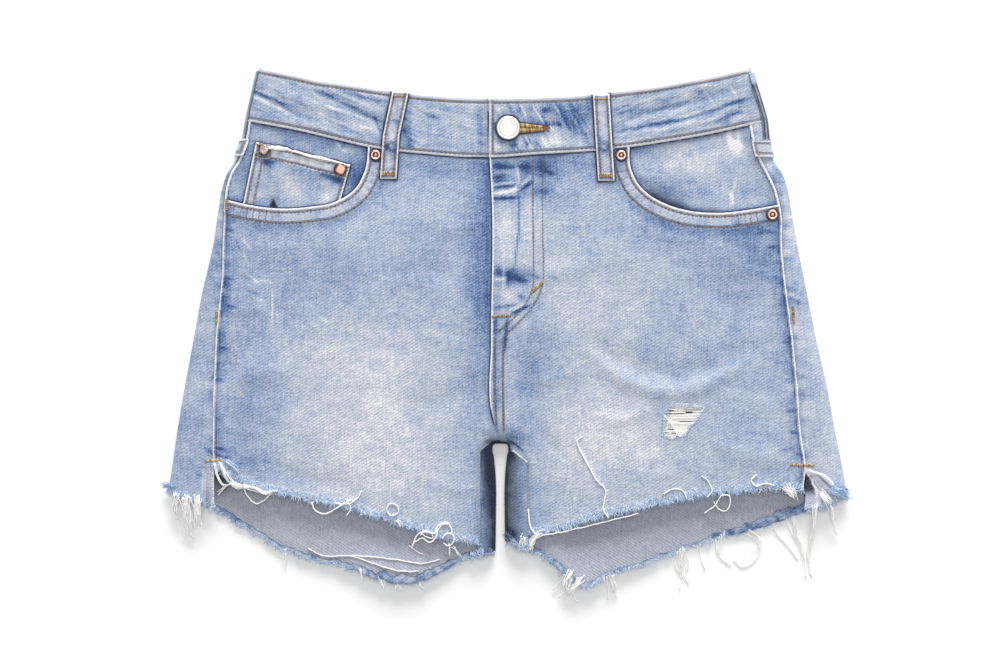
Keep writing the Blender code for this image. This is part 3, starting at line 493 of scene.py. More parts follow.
def calc(tree, *values, operation=None, clamp=False):
    # two values are multiplied and a third is added, unless another operation is named
    operation = operation or ("MULTIPLY_ADD" if len(values) == 3 else "MULTIPLY")
    return addNode(tree, "Math", values, operation=operation, use_clamp=clamp)


def mark(tree, key):
    return addNode(tree, "Attribute", out="Fac", attribute_name=key)


def toned(tree, base, amount, shade):
    return addNode(tree, "Mix", {0: amount, 6: base, 7: colour(shade)}, out=2, data_type="RGBA")


def stripes(tree, place, turn, scale, uneven):
    # waves at some degrees to the waist
    turned = addNode(tree, "VectorRotate", {"Vector": place, "Angle": math.radians(turn)}, rotation_type="Z_AXIS")
    return addNode(tree, "TexWave", {"Vector": turned, "Scale": scale, **uneven}, out="Fac")


def weave(tree, place, level, parts):
    # adds noises to a level: each has a cell (across, down, up) in mm, a detail and a weight
    found = []
    for cell, detail, weight in parts:
        scaled = addNode(tree, "VectorMath", (place, cell), operation="DIVIDE")
        sizes = {"Vector": scaled, "Scale": 1.0, "Detail": detail, "Roughness": 0.55}
        found.append(addNode(tree, "TexNoise", sizes))
        level = calc(tree, found[-1], weight, level)
    return level, found


def startMaterial(name, values):
    # a Principled material, and the object's own millimetres to draw its patterns in
    finish = bpy.data.materials.new(name)
    finish.use_nodes = True
    tree = finish.node_tree
    shader = tree.nodes["Principled BSDF"]
    for key, value in values.items():
        shader.inputs[key].default_value = value
    place = addNode(tree, "TexCoord", out="Object")
    place = addNode(tree, "VectorMath", {0: place, "Scale": 1000.0}, operation="SCALE")
    return finish, tree, shader, place


def wire(tree, shader, base, height, strength, depth):
    # the colour, and a bump of so many metres
    bump = addNode(tree, "Bump", {"Strength": strength, "Distance": depth, "Height": height})
    tree.links.new(base, shader.inputs["Base Color"])
    tree.links.new(bump, shader.inputs["Normal"])


def denimFace(name, wornShade):
    # 12 oz cotton twill, indigo warp over white weft, stone-washed: matt, with pale wales that climb to the
    # right, slubs both ways, white where a fold has rubbed and bluer in the hollows of seams.
    # The wales are really 0.9 mm apart and are drawn 2 mm apart, so that they show.
    finish, tree, shader, place = startMaterial(
        name, {"Roughness": 0.88, "Sheen Weight": 0.1, "Sheen Roughness": 0.5, "Specular IOR Level": 0.25}
    )
    wash, edgeAway, seamAway, seamRun, gapAway, worn, roping, deep = [mark(tree, key) for key in plainMarks]
    twill = stripes(tree, place, 58, 0.157, {"Distortion": 2.4, "Detail Scale": 2.4})
    parts = (
        ((1.1, 13.0, 3.0), 2.0, 0.42), ((11.0, 1.1, 3.0), 2.0, 0.34), ((14.0, 9.0, 9.0), 4.0, 0.34),
        ((1.0, 1.0, 1.0), 3.0, 0.80), ((4.6, 2.6, 5.0), 3.0, 0.34),
    )
    start = calc(tree, wash, sum(part[2] for part in parts) / 2 + 0.05, operation="SUBTRACT")
    level, (warpSlub, weftSlub, _, grain, blots) = weave(tree, place, start, parts)
    level = calc(tree, twill, 0.10, level)
    # the roping of a sewn edge: narrow blue hollows about 4.6 mm apart
    turn = calc(tree, blots, 5.0, calc(tree, seamRun, 1.37))
    hollow = calc(tree, calc(tree, turn, operation="SINE"), 0.0, operation="MAXIMUM")
    rope = calc(tree, calc(tree, hollow, 7.0, operation="POWER"), roping)
    base = addNode(tree, "ValToRGB", {"Fac": level}, stops=[
        (0.0, "#30426b"), (0.2, "#526a96"), (0.4, "#7c90b0"), (0.6, "#9daac0"),
        (0.78, "#b6bcc9"), (0.92, "#c8cad1"), (1.0, "#dedee0"),
    ])
    # painted shade and unfaded dye beside a piece that lies over this one: a thin dark line in a soft one
    soft = calc(tree, calc(tree, gapAway, -0.14, 1.0, clamp=True), 2.0, operation="POWER")
    soft = calc(tree, soft, 0.52)
    line = calc(tree, calc(tree, gapAway, -1.0, 1.55, clamp=True), 0.92)
    # painted shade in the groove that a row of thread pulls into the cloth; where no thread is modelled, the same
    # dark line stands for the row
    groove = calc(tree, seamAway, -1.1, 1.5, clamp=True)
    grooveShade = calc(tree, groove, calc(tree, grain, 0.8, 0.3), clamp=True)
    # rubbed folds: the white weft shows for about a millimetre along the edge
    reach = calc(tree, calc(tree, grain, 2.2, 0.35), edgeAway, operation="SUBTRACT")
    rub = calc(tree, reach, 1.4, clamp=True)
    # turned and stitched edges are worn grey all over
    grey = calc(tree, calc(tree, grain, 1.5, -0.05), worn, clamp=True)
    tick = calc(tree, rope, 0.75, clamp=True)
    # painted shade: where the deep mark says the cloth lies in shade (between the legs, under lips, in gaps) it goes
    # towards near-black blue
    paintedShade = calc(tree, calc(tree, grain, 0.7, 0.65), deep, clamp=True)
    for amount, shade in (
        (grey, wornShade), (tick, "#565d74"), (soft, "#3d5285"), (paintedShade, "#1a2133"), (line, "#1f2944"),
        (grooveShade, "#54505a"), (rub, "#e2e2e5"),
    ):
        base = toned(tree, base, amount, shade)
    height = calc(tree, twill, 0.5)
    relief = (warpSlub, 0.6), (weftSlub, 0.6), (grain, 1.0), (blots, 1.2), (rope, -1.0), (groove, -1.6)
    for part, weight in relief:
        height = calc(tree, part, weight, height)
    wire(tree, shader, base, height, 0.8, 0.00025)
    return finish


def denimWrong():
    # the same twill from its wrong side: mostly white weft with a little indigo, so grey-blue, and the wales
    # lean the other way; matt, with upright flecks of the warp
    finish, tree, shader, place = startMaterial("denim-wrong-side", {"Roughness": 0.92, "Specular IOR Level": 0.2})
    twill = stripes(tree, place, -58, 0.165, {"Distortion": 2.4, "Detail Scale": 2.4})
    parts = ((1.1, 4.5, 3.0), 3.0, 0.80), ((10.0, 7.0, 8.0), 3.0, 0.36), ((1.1, 1.1, 1.1), 2.0, 0.70)
    level, (_, _, grain) = weave(tree, place, calc(tree, twill, 0.22, -0.50), parts)
    shades = [(0.0, "#6c758b"), (0.35, "#999ead"), (0.7, "#afb3bf"), (1.0, "#cccfd8")]
    base = addNode(tree, "ValToRGB", {"Fac": level}, stops=shades)
    # painted shade: the deep mark takes the inner face towards near-black where it lies in shade
    base = toned(tree, base, mark(tree, "deep"), "#262a36")
    wire(tree, shader, base, calc(tree, grain, 1.2, twill), 0.7, 0.0002)
    return finish


def spunThread(name, shades, rough=0.7):
    # spun cotton, its shades in bands about half a millimetre apart, as the twist catches light;
    # the mark on each thread says how far along the shades it is
    finish, tree, shader, place = startMaterial(name, {"Roughness": rough, "Specular IOR Level": 0.3})
    tint = mark(tree, "tint")
    twist = stripes(tree, place, 35, 0.5, {"Distortion": 1.0})
    level = calc(tree, calc(tree, twist, 0.5, operation="SUBTRACT"), 0.2, tint)
    stops = [(k / (len(shades) - 1), shade) for k, shade in enumerate(shades)]
    wire(tree, shader, addNode(tree, "ValToRGB", {"Fac": level}, stops=stops), twist, 0.5, 0.0001)
    return finish


def platedMetal(name, bright, dull, deep, rough):
    # stamped brass under a thin plate: bright and fairly smooth, with small scuffs; dirt and tarnish lie in
    # the hollows of the stamping, where the mark says so
    finish, tree, shader, place = startMaterial(name, {"Metallic": 1.0})
    _, (scuff,) = weave(tree, place, 0.0, (((0.9, 0.9, 0.9), 4.0, 1.0),))
    base = addNode(tree, "ValToRGB", {"Fac": scuff}, stops=[(0.34, dull), (0.6, bright)])
    base = toned(tree, base, mark(tree, "hollow"), deep)
    tree.links.new(calc(tree, scuff, 0.25, rough - 0.1), shader.inputs["Roughness"])
    wire(tree, shader, base, scuff, 0.25, 0.00008)
    return finish


def paintedBoard():
    # matt white painted board: even and nearly white
    finish, tree, shader, place = startMaterial("matt-white-board", {"Roughness": 0.9, "Specular IOR Level": 0.1})
    level, _ = weave(tree, place, 0.0, (((90.0, 90.0, 90.0), 2.0, 1.0),))
    base = addNode(tree, "ValToRGB", {"Fac": level}, stops=[(0.0, "#f6f6f6"), (1.0, "#f8f8f8")])
    tree.links.new(base, shader.inputs["Base Color"])
    return finish


denim = denimFace("washed-denim-twill", "#c4c4cd")
strapDenim = denimFace("rubbed-denim-strap", "#bcbdc6")  # handled most, so its dye is nearly gone
wrongSide = denimWrong()
goldThread = spunThread("golden-brown-topstitch", ("#5f432a", "#a98452", "#d8bd8c"))
greyThread = spunThread("faded-tan-topstitch", ("#4d4648", "#766a67", "#a08e80"))
bareWeft = spunThread("bare-cotton-weft", ("#a9a4a0", "#d6d2ce", "#f1efec", "#ffffff"), 0.85)
rawCotton = spunThread("raw-weft-cotton", ("#2b2e39", "#7d98c6", "#a9bfde", "#cddaec", "#f4f6fa"), 0.85)
silver = platedMetal("silver-plated-brass", "#fbfbf5", "#f1efe6", "#6f6a58", 0.36)
copper = platedMetal("copper-plated-brass", "#f0d4c8", "#cd9a84", "#5f3023", 0.38)
wornCopper = platedMetal("worn-copper-plate", "#cdb6ae", "#5a4643", "#33292b", 0.45)
rubbedCopper = platedMetal("rubbed-copper-plate", "#dba993", "#b98068", "#54291d", 0.42)
print("materials: done")


def cloth(name, points, faces, marks, wall, replaces=(), finishes=(denim, wrongSide), softEdge=0.25):
    makePiece(name, points, faces, finishes, marks, wall, softEdge, "denim", replaces)


# stage
stage = {
    "floorHalf": 3000.0, "fill": 0.46, "lampTurn": -6,
    # lamps: strength on a level face, degrees from upright, spread in degrees
    "lamps": {"soft key": (0.42, 71, 34), "overhead": (0.30, 6, 24)},
}
# straight down from 3 m: 1008 x 672 pixels cover 747 x 498 mm
camera = {"at": (-0.4, -1.3, 3010.0), "distance": 3000.0, "covers": 746.9, "sensor": 36.0}


def setStage():
    half = stage["floorHalf"] * mm
    mesh = bpy.data.meshes.new("floor")
    corners = (-half, -half, 0.0), (half, -half, 0.0), (half, half, 0.0), (-half, half, 0.0)
    mesh.from_pydata(corners, [], [(0, 1, 2, 3)])
    mesh.materials.append(paintedBoard())
    addObject("floor", mesh)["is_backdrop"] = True
    world = bpy.data.worlds.new("studio")
    world.use_nodes = True
    sky = world.node_tree.nodes["Background"].inputs
    sky["Color"].default_value, sky["Strength"].default_value = (1, 1, 1, 1), stage["fill"]
    bpy.context.scene.world = world
    for name, (level, tilt, spread) in stage["lamps"].items():
        lamp = bpy.data.lights.new(name, "SUN")
        lamp.energy, lamp.angle = level * math.pi / math.cos(math.radians(tilt)), math.radians(spread)
        addObject(name, lamp).rotation_euler = (-math.radians(tilt), 0.0, math.radians(stage["lampTurn"]))
    bpy.context.scene.view_settings.view_transform = "Standard"


def setCamera():
    lens = bpy.data.cameras.new("camera")
    lens.sensor_width = camera["sensor"]
    lens.lens = camera["sensor"] * camera["distance"] / camera["covers"]
    lens.clip_end = 100.0
    seen = addObject("camera", lens)
    seen.location = [value * mm for value in camera["at"]]
    bpy.context.scene.camera = seen


setStage()
setCamera()
print("stage and camera: done")


# what lies over the panels: belt loops, the band, the button and the fly's lapped edge
loops = {
    "belt-loop-left": [(-77.0, 16.0), (-84.0, 49.0), (-86.2, 81.2)],
    "belt-loop-right": [(71.6, 18.0), (73.4, 50.0), (75.5, 82.6)],
}
strap = {"width": 12.4, "wall": 1.5, "arch": 0.8, "row": 2.0, "gap": 0.3}


def strapRim(route):
    # a belt loop's outline: down one side, across its lower end, up the other
    route = curved(route, 2.0)
    half = strap["width"] / 2 + 0.1
    return np.concatenate([sideways(route, half), sideways(route, -half)[::-1]])


bandFoot = coords(np.linspace(-194, 194, 98), bandBottom(np.linspace(-194, 194, 98)))
strapRims = [strapRim(route) for route in loops.values()]


# front panels
pocketHem = {"rowNear": 2.8, "rowFar": 10.6, "rise": 0.45, "rope": 0.16, "ropePitch": 4.6}
crotchShade = patches((-13.4, 276.4, 4, 1.6, -38, 0.4), (-4, 276, 9, 1.3, 6, 0.5), (7, 276.5, 6, 2.6, 38, 0.2))
pocketRivets = {-1: [(-95.6, 63.2)], 1: [(86.6, 63.4), (198.6, 107.6)]}
rip = np.array([
    (123, 248), (135, 248.5), (148, 250), (143, 259), (137, 266), (134, 271), (123, 274), (117, 271), (118, 255),
], float)
# some darker patches are painted shade: the narrow ones just left of the fly's lapped edge, and the one just right of
# the crotch seam above the space between the legs
washes = patches(  # where the cloth is paler or bluer than its middle tone
    (-100, 245, 62, 62, 0, 0.25), (-92, 306, 62, 26, 8, 0.1), (-116, 156, 85, 26, 0, -0.05),
    (-190, 245, 24, 75, 0, -0.1), (-20, 140, 9, 66, 0, -0.28), (-48, 72, 50, 9, 3, -0.16),
    (-188, 293, 20, 10, 20, -0.16), (-24, 268, 11, 62, 0, -0.1), (-150, 118, 50, 12, 0, 0.04),
    (-58, 102, 30, 12, 0, 0.08), (-150, 210, 26, 18, 0, 0.05), (-110, 300, 60, 16, 8, 0.05),
    (70, 172, 56, 36, 0, 0.15), (40, 126, 34, 22, 0, 0.06), (184, 138, 30, 24, 0, -0.16),
    (78, 276, 62, 44, 0, 0.26), (184, 250, 34, 44, 0, 0.04), (188, 160, 26, 20, 0, -0.06),
    (137, 123, 52, 7, 0, -0.12), (18, 246, 12, 52, 0, -0.2), (42, 73, 46, 9, 0, -0.2), (30, 300, 14, 40, 0, -0.08),
    (1, 122, 8, 24, 0, 0.3), (16, 120, 4.5, 26, 0, 0.12), (25, 120, 4, 26, 0, 0.06), (4, 168, 7, 6, 0, 0.24),
    (-3, 76, 6, 7, 0, -0.22), (30, 84, 8, 12, 0, -0.14), (12, 190, 6, 6, 0, 0.14), (-6, 230, 3, 40, 0, -0.26),
    (15.5, 71.5, 4.3, 5.2, 0, -0.24), (28.3, 90.4, 5.7, 2.3, 0, -0.2), (-4.3, 149.4, 3, 3.4, 0, -0.45),
    (12.2, 168.3, 3.2, 2.5, 0, -0.4), (27.4, 71.9, 2.8, 5.7, 0, -0.25), (-3.8, 70.5, 4.7, 1.9, 0, -0.2),
    (7, 151.5, 12, 6.5, 0, -0.3), (14, 155.5, 7, 4.5, 0, -0.2), (16, 73, 4.2, 6.5, 0, -0.16),
    (15, 88, 3, 9, 14, -0.24), (1.9, 71.5, 12, 2.6, 0, -0.16), (27.4, 72, 8, 7, 0, -0.16),
    (27.8, 90.8, 9, 4.5, 0, -0.2), (-5.2, 82.3, 4, 3.6, 0, -0.25), (0, 96, 9, 2.4, 0, -0.25),
    (4, 154, 10, 6, 0, -0.26), (-12.4, 130, 2.6, 75, 0, -0.22), (-15, 190, 6, 60, 0, -0.12),
    (-15, 80, 4, 14, 0, -0.12), (6, 272, 9, 7, 35, -0.24), (-100, 330, 60, 10, 14, 0.08),
)
seamStrokes = strokes(  # short folds square to the side seams
    (-216.9, 157.2, -208, 159, 0.3, 1.1, -0.4), (-219, 167.8, -210.5, 169.5, 0, 1, -0.35),
    (-214.6, 135.5, -208, 138, 0, 1.1, -0.4), (-206, 175, -198, 176.7, 0, 1, -0.32),
    (-206.5, 153.9, -200, 155.7, 0.4, 1, -0.32), (-226.9, 295.5, -216.9, 296.4, 0, 1, -0.3),
    (-229, 300.8, -217.4, 300.5, 0, 1.2, -0.3), (-221.2, 275.3, -214, 276, 0, 1, -0.42),
    (-222.6, 282.4, -214, 283.3, 0, 1.1, -0.42), (-215.5, 279.7, -206, 281.5, 0.4, 1, -0.4),
    (-214.8, 284.9, -203, 287.6, 0.6, 1.1, -0.36), (-218, 228, -208, 230, 0.4, 1.1, -0.3),
    (-212, 206, -203, 207, 0, 1, -0.3), (-210, 118, -200, 120, 0, 1.3, -0.3), (-204, 101, -196, 108, 0, 2.2, -0.22),
    (199.2, 70, 206, 80, 0, 2.8, -0.3), (204, 118.2, 213.6, 114.6, 0, 1.2, -0.35),
    (206, 139.8, 216, 140.6, 0.3, 1.2, -0.32), (208, 168.5, 220, 173, 0, 1.3, -0.42),
    (206, 161.3, 217.1, 163.1, 0, 1.1, -0.34), (193, 132.6, 205, 130.8, -0.4, 1.2, -0.34),
    (186, 121.8, 202.7, 120, -0.6, 1.3, -0.26), (210, 198, 219, 200, 0, 1.2, -0.3),
    (214, 226, 223, 227, 0.3, 1.2, -0.32), (207, 254, 219, 252, 0, 1.4, -0.3),
    (210, 268, 222, 270, 0.4, 1.2, -0.34), (214, 284, 228, 288, 0, 1.3, -0.34), (205, 282, 215, 280, 0, 1.2, -0.3),
    (226, 300, 240, 306, 0.5, 1.3, -0.34), (200, 218, 212, 216, 0, 1.2, -0.24),
)


flyStrokes = strokes(  # crisp worn strokes, pale on the ridges and blue in the folds
    (-11.4, 71.5, 23.6, 72.4, 0, 1, -0.26), (-9.5, 75.6, 6.6, 75.9, 0, 0.8, 0.28),
    (-9.5, 80, 1.8, 79.7, 0, 0.8, -0.3), (-9.5, 83.3, 6.6, 82.1, 0, 0.8, -0.25), (-9.5, 88, 12.2, 85.2, 0, 1, -0.5),
    (-9.5, 85, 8.5, 83.3, 0, 0.8, 0.3), (-9.5, 92.3, 13.2, 88.5, 0, 1.1, 0.6), (8.9, 71, 10.8, 83.3, 0, 1.2, 0.4),
    (10.8, 82.3, 6.6, 89, 0, 1, 0.35), (-9.5, 96, 11.3, 94.6, 0, 1.2, -0.55), (9.4, 90.8, 21.7, 82.3, 0, 1.3, -0.5),
    (11.3, 88, 19.8, 78.1, 0, 0.9, 0.4), (10.2, 87.1, 10.5, 125.8, 0, 0.7, -0.5),
    (10.7, 116.4, 7, 150.4, 0, 0.8, -0.35), (27.4, 73.8, 36.8, 77.6, 0, 1.5, -0.3),
    (-0.5, 144.7, -0.8, 165.5, 0, 0.8, 0.35), (-7.6, 155.6, 2.8, 154.6, 0, 1, 0.5),
    (2.8, 147.6, 3.2, 164, 0, 2, -0.24), (5.6, 153.6, 19.8, 158, 0.6, 2.2, -0.26),
    (0.6, 274, 15.6, 284.8, -1.2, 0.7, -0.5), (18.9, 152.7, 27.4, 154.2, 0, 1.4, -0.3),
    (-9.5, 177.3, 10.4, 173.8, 0, 0.9, -0.45), (3.7, 182, 19.8, 174, 0, 1.2, -0.6),
    (2.8, 178.9, 17.9, 172.1, 0, 0.9, 0.3), (-6.4, 182.5, -7.3, 197.6, 0, 1, -0.45),
    (2, 182.5, -0, 210.9, 0, 1.1, -0.5), (29.3, 152.7, 39.7, 154.6, 0, 1.2, -0.22),
)
legStrokes = strokes(
    (-195.4, 124.1, -187.5, 133.8, 0, 0.8, 0.3), (-193.6, 135.5, -189.2, 146, 0, 0.7, 0.25),
    (-192.7, 149.5, -180.5, 160, 0, 0.8, 0.35), (-185.8, 154.7, -171.8, 158.2, 0, 0.8, 0.3),
    (-172.6, 156.5, -171.8, 189.7, 0, 0.6, 0.3), (-192.7, 163.5, -180.5, 167, 0, 0.7, -0.25),
    (-168.3, 179.2, -167.4, 191.5, 0, 0.6, 0.25), (-199.7, 125, -195.4, 135.5, 0, 0.8, -0.25),
    (-187.5, 168.7, -175.3, 172.2, 0, 0.7, 0.25), (-140.3, 181, -129.8, 188, 0, 1, 0.15),
)


def washAt(x, d):
    return 0.6 + spots(washes, x, d) + 0.05 * noise(x, d, 30, 11) + 0.05 * noise(x, d, 13, 12)


def pocketLine(side):
    # the curved opening, from the side seam to the waistband
    edge = pocketEdges[side]
    line = curved(coords(edge["across"], edge["down"])[::-side], 0.5)
    line = line[np.abs(line[:, 0]) < np.abs(sideSeamAt(side, line[:, 1])) - 0.6]
    return spaced(line[line[:, 1] > bandBottom(line[:, 0]) - 1.0], 1.5)


def slotSide(side, inset, d):
    return laid["slotX"] + side * (slotHalfAt(d) + inset)


def roundSlot(side, inward, turn):
    # place at a distance in from the top of the space between the legs, at a turn away from upright
    # the square corners grow round by the line where the cloth turns under
    square = laid["slotSquare"] + (2 - laid["slotSquare"]) * np.clip(inward / laid["underRoll"], 0, 1)
    radius, power = laid["slotHalf"] + inward, 2 / square
    across, up = radius * np.abs(np.sin(turn)) ** power, radius * np.abs(np.cos(turn)) ** power
    return laid["slotX"] + side * across, laid["slotTop"] + laid["slotHalf"] - up


def crotchInset(side, turn):
    least = 2.6 if side < 0 else 1.6
    return least + (inseamAt(side, laid["slotTop"]) - least) * (turn / (math.pi / 2)) ** 3


def frontLines(side):
    # the named edges of a front panel, in turn round it
    pocket = pocketLine(side)
    down = np.linspace(pocket[0, 1] + 1, 330, 200)
    slit = 2.2 * ramp(down, laid["slitTop"], laid["slitTop"] + 20)
    sideLine = coords(sideSeamAt(side, down) - side * (0.1 + slit), down)
    sideLine = sideLine[sideLine[:, 1] < readAt(frontHems[side], "down", sideLine[:, 0]) - laid["fray"]]
    # the cut-off edge: the smooth hem, moved by two sizes of tear
    across = np.linspace(sideLine[-1, 0], slotSide(side, inseamAt(side, 350.0), 350.0), 500)
    tear = 1.5 * (0.7 * noise(across, 0, 5.5, 30 + side) + 0.5 * noise(across, 0, 1.9, 31 + side))
    hem = coords(across, readAt(frontHems[side], "down", across) - laid["fray"] + tear)
    low = np.linspace(hem[-1, 1], laid["slotTop"] + laid["slotHalf"], 60)
    leg = coords(slotSide(side, inseamAt(side, low), low), low)
    turn = np.linspace(math.pi / 2, 0, 24)
    crotch = coords(*roundSlot(side, crotchInset(side, turn), turn))
    up = np.linspace(crotch[-1, 1], bandBottom(0.0) - 1.0, 160)
    tucked = np.where(up < 250, laid["lapUnder"], 0.0) if side < 0 else 0.0
    centre = coords(readAt(flyEdge, "edge", up) + tucked, up)
    across = np.linspace(centre[-1, 0], pocket[-1, 0], 100)
    waist = coords(across, bandBottom(across) - 1.0)
    return {
        "side": sideLine, "hem": hem, "leg": leg, "crotch": crotch, "centre": centre, "waist": waist,
        "pocket": pocket,
    }


seamRows = {  # the fly's J in two rows, and the crotch seam's two rows
    "flyInner": [(21.1, 65), (21, 108), (21.6, 145), (21.4, 158), (18.6, 168), (13, 177), (5, 186), (-5.6, 195.3)],
    "flyOuter": [(28.6, 65), (28.2, 111), (28.6, 148), (28.4, 157), (25.6, 167), (20, 176.6), (11.5, 186.4),
        (1, 196.6)],
    "crotchOuter": [(-1, 199), (-1.2, 236), (-0.6, 268)], "crotchInner": [(-7.2, 199), (-7.3, 236), (-6, 266)],
}


def rowsOfThread(side, pocket):
    rows = {key: sideways(pocket, -side * pocketHem[key]) for key in ("rowNear", "rowFar")}
    if side > 0:
        rows.update({key: curved(line, 2.0) for key, line in seamRows.items()})
    return {key: spaced(line, 1.2) for key, line in rows.items()}


fronts = {}
panel = {"step": 1.3, "wall": 0.95, "softEdge": 0.3, "rivetRim": 4.2, "seamLine": 2.7}


def frontPanel(side):
    lines = frontLines(side)
    pocket = lines["pocket"]
    rows = rowsOfThread(side, pocket)
    fronts[side] = {"lines": lines, "rows": rows}
    loop = np.concatenate([*list(lines.values())[:-1], pocket[::-1]])
    x, d, faces = trimmedGrid(loop, panel["step"], [rip] if side > 0 else [])
    pocketAway, pocketRun = nearest(pocket, x, d)
    sideAway, _ = nearest(lines["side"], x, d)
    hemAway, _ = nearest(lines["hem"][::4], x, d)
    innerAway, _ = nearest(np.vstack([lines["leg"], lines["crotch"]]), x, d)
    seamAway, _ = nearestOf(rows.values(), x, d)
    # the fly's rows lie looser than the others, so their groove is faint
    seamAway = seamAway + np.where((x > 4) & (x < 40) & (d < 200), 0.45 + 0.3 * noise(x, d, 9, 13), 0)
    # along the edges the cloth rubs white; beside the gaps (the band's foot, the belt loops and, on the left, the
    # fly's lapped edge) lies painted shade with unfaded dye
    edges, gaps = [pocket, lines["side"]], [bandFoot, strapRims[side > 0]]
    if side > 0:
        edges += [lines["centre"][lines["centre"][:, 1] < 252], lines["leg"][lines["leg"][:, 1] < 291]]
    else:
        down = np.linspace(62, 262, 80)
        gaps.append(coords(readAt(flyEdge, "edge", down), down))
    edgeAway, _ = nearestOf(edges, x, d)
    gapAway, _ = nearestOf(gaps, x, d)
    # painted shade: a dark ring round each rivet's rim
    for rivetX, rivetD in pocketRivets[side]:
        gapAway = np.minimum(gapAway, np.abs(np.hypot(x - rivetX, d - rivetD) - panel["rivetRim"]))
    # painted shade: a dark line runs beside the side seam's white edge
    gapAway = np.minimum(gapAway, 0.45 + 1.5 * np.abs(sideAway - panel["seamLine"]))
    shade = washAt(x, d) + creased(seamStrokes, x, d) + 1.15 * creased(flyStrokes if side > 0 else legStrokes, x, d)
    # bluer just outside the pocket's hem, where it is painted shade below the hem's edge, and beside the side seam;
    # paler on the hem itself
    shade = shade - 0.16 * bell(pocketAway - 14.5, 3.5) + 0.10 * bell(pocketAway, 7)
    shade = shade - 0.14 * bell(sideAway - 4.5, 4) * (1 + 0.6 * noise(x, d, 7, 15))
    # short puckers square to the side seam
    shade = shade + 0.26 * bell(sideAway, 7) * noise(sideAway / 4, d, 4.2, 18)
    shade = shade + (0.10 + 0.10 * noise(x, d, 5, 20)) * bell(hemAway, 6)
    near, outer = pocketHem["rowNear"], pocketHem["rowFar"]
    between = ramp(pocketAway, near - 0.6, near + 0.6) * fade(pocketAway, outer - 0.8, outer + 0.4)
    worn = 0.9 * fade(pocketAway, near - 0.6, near + 0.8) + between * (0.40 + 0.45 * noise(x, d, 4.5, 21))
    # the deep mark is painted shade: along the inner edge, where the cloth turns away between the legs, and in the
    # patches above that space
    marks = {
        "wash": shade - 0.16 * between * ramp(noise(x, d, 6, 22), -0.2, 0.7), "edgeAway": edgeAway,
        "seamAway": seamAway, "seamRun": pocketRun, "gapAway": gapAway, "worn": worn,
        "roping": between * (0.25 + 0.75 * ramp(noise(pocketRun, 0, 26, 19), -0.3, 0.6)),
        "deep": np.clip(0.3 * bell(innerAway, 4) + spots(crotchShade, x, d), 0, 1),
    }
    name = "front-panel-" + word(side)
    points = coords(x, d, frontZ(side, x, d))
    cloth(name, points, faces, marks, panel["wall"], ["front-" + word(side)], softEdge=panel["softEdge"])


def frontZ(side, x, d):
    # the laid tube, its softness, the lapped fly, and the pocket's turned hem with its roping
    z = tubeTop(x, d) + softness(x, d)
    if side > 0:
        z = z + flyLift(x, d)
    pocketAway, pocketRun = nearest(fronts[side]["lines"]["pocket"], x, d)
    sideAway, sideRun = nearest(fronts[side]["lines"]["side"], x, d)
    hem = fade(pocketAway, 11.0, 13.5)
    rope = np.sin(2 * math.pi * pocketRun / pocketHem["ropePitch"] + 1.5 * noise(x, d, 9, 16))
    z = z + pocketHem["rise"] * hem + pocketHem["rope"] * rope * hem * ramp(pocketAway, 2.0, 5.0)
    # the seam's turnings make a low ridge that puckers, and its edge turns down
    z = z + 0.25 * fade(sideAway, 7, 10) + 0.22 * noise(sideRun, 0, 5.0, 17) * bell(sideAway, 9)
    return z - 0.7 * fade(sideAway, 0.0, 1.6)


for side in (-1, 1):
    frontPanel(side)
print("front panels: done")


# back panels and yokes: they lie flat, wrap round the side folds and come up the inner thighs
yokes = {"side": 45.0, "centre": 72.0, "half": 200.0}
# grids of the back: rows down the yoke, and down the panel above, round and below the top of the space between
# the legs; columns on the front's strip and on the flat underside
backGrid = {
    "yokeRows": 34, "yokeStrip": 9, "yokeFlat": 50, "above": 44, "round": 8, "below": 34, "strip": 16, "flat": 190,
}
backWall, hiddenGap = 1.0, 0.2  # the two halves of the back end this far from the middle
backWashes = patches(
    (-222, 150, 10, 12, 0, -0.12), (-230, 190, 10, 9, 0, 0.1), (-238, 214, 10, 8, 0, -0.14),
    (-228, 236, 9, 8, 0, 0.12), (-240, 262, 12, 9, 0, -0.1), (-212, 110, 8, 14, 0, 0.1), (216, 120, 9, 12, 0, 0.12),
    (222, 165, 10, 10, 0, -0.1), (230, 205, 10, 12, 0, 0.06), (236, 240, 12, 9, 0, -0.06),
    (244, 280, 12, 14, 0, 0.06), (205, 88, 7, 8, 0, -0.14),
)


def yokeLine(x):
    share = np.clip(np.abs(x) / yokes["half"], 0, 1)
    return bandBottom(x) + yokes["centre"] + (yokes["side"] - yokes["centre"]) * share


def settled(xAt, shape, v, upper, lower, start):
    # where a line meets the row v between two edges, found by repeating
    d = np.full(shape, start)
    for _ in range(14):
        x = xAt(d)
        d = upper(x) + (lower(x) - upper(x)) * v
    return x, d


def besideFold(side, inward, v, upper, lower):
    return settled(
        lambda d: outlineAt(side, d) - side * inward, np.broadcast(inward, v).shape, v, upper, lower, waistY,
    )


def besideSlot(side, inward, v, upper, lower):
    return settled(lambda d: slotSide(side, inward, d), np.broadcast(inward, v).shape, v, upper, lower, 320.0)


# the underside's quarter roll up to the fold: distance in from it, and height
quarter = np.linspace(0, math.pi / 2, 9)
underIn, underUp = laid["underRoll"] * (1 - np.cos(quarter)), laid["fold"] * (1 - np.sin(quarter))


def stripZ(side, x, d, inset):
    # the back's turned-over strip on the front: it dips beside the seam and puckers there
    pucker = noise(d, side, 5.5, 41) * 0.35 * bell(inset - 5, 6)
    return tubeTop(x, d) + softness(x, d) * 0.7 + pucker - 0.55 * bell(inset, 1.8)


